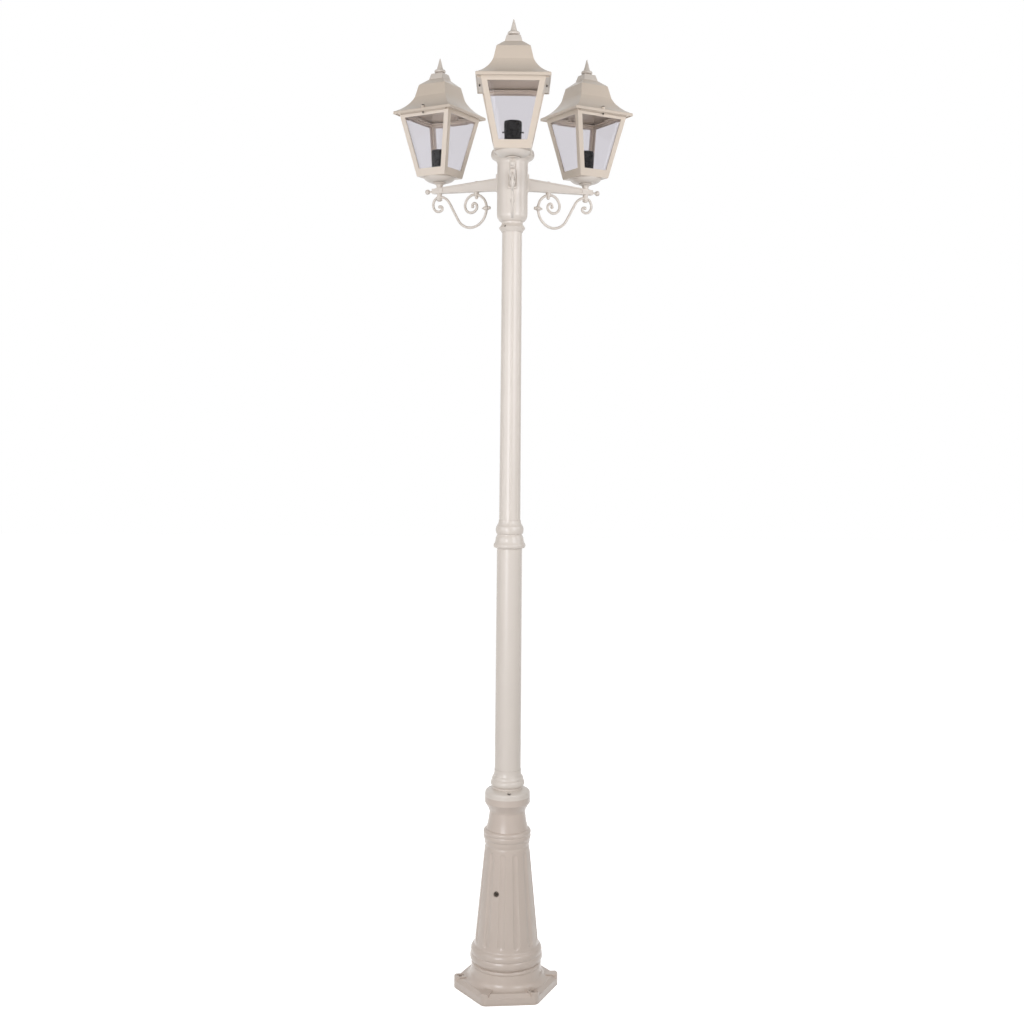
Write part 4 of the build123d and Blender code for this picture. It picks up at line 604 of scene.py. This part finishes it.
# %% Measures of the holder
holder_low, holder_high = (np.array(corner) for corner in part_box("lampholder_front"))
socket_low, socket_high = (np.array(corner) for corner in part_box("lamp_socket_front"))
CONTACT_HEIGHT = 3.0 * MM
CONTACT_DROP = 0.4 * MM                 # contact's top below the shell's foot
HOLDER_RADIUS = (holder_high[0] - holder_low[0]) / 2
HOLDER_FOOT = holder_low[2]
HOLDER_TOP = HOLDER_FOOT + round((holder_high[2] - HOLDER_FOOT) / MM) * MM
WELL_FLOOR = socket_low[2] + CONTACT_HEIGHT + CONTACT_DROP
SHELL_RADIUS = (socket_high[0] - socket_low[0]) / 2
SHELL_TOP = socket_high[2]
ROD_ENTRY_RADIUS = 5.2 * MM
ENTRY_FACE_RADIUS = 10 * MM             # flat face round the rod's entry
CAP_INSET = 0.8 * MM                    # cap's face inside the skirt's
GROOVE_INSET = 1.6 * MM                 # groove's bottom inside the skirt's face
RIM_ROUND = 3.4 * MM
LIP_ROUND = 1.2 * MM
BEAD_ROUND = 1.2 * MM                   # bead where the ribbed cap meets the skirt
SKIRT_FOOT = HOLDER_FOOT + 38.5 * MM
SHELL_ROOM = 0.8 * MM                   # well's wall outside the shell
CAP_RIBS = 36
RIB_DEPTH = 0.9 * MM
HOLDER_STEPS = 216                      # six points to a rib
holder_height = HOLDER_TOP - HOLDER_FOOT
print("holder", round(2 * HOLDER_RADIUS / MM, 1), "mm across,", round(holder_height / MM), "mm tall")


# %% Lampholder
def arc_points(centre_radius, centre_height, radius, start, stop, count=6):
    """Points along an arc, by angle in degrees from outwards towards up."""
    angle = np.radians(np.linspace(start, stop, count))
    return np.column_stack([centre_radius + radius * np.cos(angle), centre_height + radius * np.sin(angle)])


def holder_profile():
    """Closed profile from the rod's entry, over the ribbed cap, bead, skirt and rim, down into the well."""
    outer = HOLDER_RADIUS
    mouth = SHELL_RADIUS + SHELL_ROOM
    bead_top = SKIRT_FOOT + 2 * BEAD_ROUND
    entry = [(ROD_ENTRY_RADIUS, HOLDER_FOOT), (ENTRY_FACE_RADIUS, HOLDER_FOOT)]
    shoulder = [(14 * MM, HOLDER_FOOT + 2.5 * MM), (outer - 3 * MM, HOLDER_FOOT + 6.5 * MM),
                (outer - 1.2 * MM, HOLDER_FOOT + 9 * MM)]
    cap = [(outer - CAP_INSET, HOLDER_FOOT + 12 * MM), (outer - CAP_INSET, SKIRT_FOOT - 3 * MM)]
    groove = [(outer - GROOVE_INSET, SKIRT_FOOT - 1.4 * MM), (outer - GROOVE_INSET, SKIRT_FOOT - 0.2 * MM)]
    bead = arc_points(outer - BEAD_ROUND, SKIRT_FOOT + BEAD_ROUND, BEAD_ROUND, -90, 90, 9)
    skirt = [(outer - 0.9 * MM, bead_top + 0.5 * MM), (outer, bead_top + 1.4 * MM)]
    rim = arc_points(outer - RIM_ROUND, HOLDER_TOP - RIM_ROUND, RIM_ROUND, 0, 90)
    lip = arc_points(mouth + LIP_ROUND, HOLDER_TOP - LIP_ROUND, LIP_ROUND, 90, 180, 4)
    well = [(mouth, WELL_FLOOR), (ROD_ENTRY_RADIUS, WELL_FLOOR)]
    return np.concatenate([entry, shoulder, cap, groove, bead, skirt, rim, lip, well])


profile = holder_profile()
ribbed = (profile[:, 0] > HOLDER_RADIUS - 1 * MM) & (profile[:, 1] < SKIRT_FOOT - 2 * MM)
holder_rings = turned_points(profile, HOLDER_STEPS, CAP_RIBS, RIB_DEPTH, ribbed)
holder_points = holder_rings.reshape(-1, 3) + lantern_axis
holder_faces = loft_faces(len(profile), HOLDER_STEPS, wrap=True)
for arm in ARMS:
    obj = mesh_object(f"holder_{arm}", about_post(holder_points, arm), holder_faces)
    finish_piece(obj, black, f"lampholder_{arm}")
print("three holders,", CAP_RIBS, "ribs on each cap")

# %% [markdown]
# ## Screw shells
#
# Inside each holder is a brass shell rolled with the coarse thread that a lamp screws into, and below it, in
# the middle, the contact that the lamp's tip presses on. The shell is two nested walls. Their radius follows
# a cosine of height minus turn, so the wave winds up the wall as a helix, and it fades out at both ends.

# %% Screw shell
THREAD_PITCH = 3.62 * MM
THREAD_DEPTH = 0.55 * MM
THREAD_STEPS = 72
ROWS_PER_PITCH = 10
SHELL_WALL = 0.45 * MM
CONTACT_STEPS = 32


def shell_points():
    """Two nested walls with one rolled wave: radius = middle + depth * cos(2 pi height / pitch - turn)."""
    rows = int((SHELL_TOP - WELL_FLOOR) / THREAD_PITCH * ROWS_PER_PITCH)
    height = np.linspace(0, SHELL_TOP - WELL_FLOOR, rows)[:, None]
    turn = np.linspace(0, 2 * np.pi, THREAD_STEPS, endpoint=False)[None]
    ends = np.clip(np.minimum(height, height[-1] - height) / THREAD_PITCH, 0, 1)
    wave = THREAD_DEPTH * ends * np.cos(2 * np.pi * height / THREAD_PITCH - turn)
    walls = []
    for radius in (SHELL_RADIUS - THREAD_DEPTH, SHELL_RADIUS - THREAD_DEPTH - SHELL_WALL):
        ring = radius + wave
        walls.append(np.stack([ring * np.cos(turn), ring * np.sin(turn), height + 0 * turn], axis=-1))
    return np.concatenate([walls[0], walls[1][::-1]])


shell = shell_points() + [0, 0, WELL_FLOOR]
contact_rows = np.array([(0.01, 0), (5, 0), (5, 0.8), (4.4, 1.4), (2.6, 2.4), (1.4, 3), (0.01, 3)]) * MM
contact = turned_points(contact_rows, CONTACT_STEPS) + [0, 0, socket_low[2]]
shell_and_contact = np.concatenate([shell.reshape(-1, 3), contact.reshape(-1, 3)]) + lantern_axis
shell_faces = loft_faces(len(shell), THREAD_STEPS, wrap=True)
contact_faces = loft_faces(len(contact), CONTACT_STEPS, first=len(shell) * THREAD_STEPS)
for arm in ARMS:
    obj = mesh_object(f"screw_shell_{arm}", about_post(shell_and_contact, arm), shell_faces + contact_faces)
    finish_piece(obj, brass, f"lamp_socket_{arm}")
print("three shells, thread pitch", THREAD_PITCH / MM, "mm")
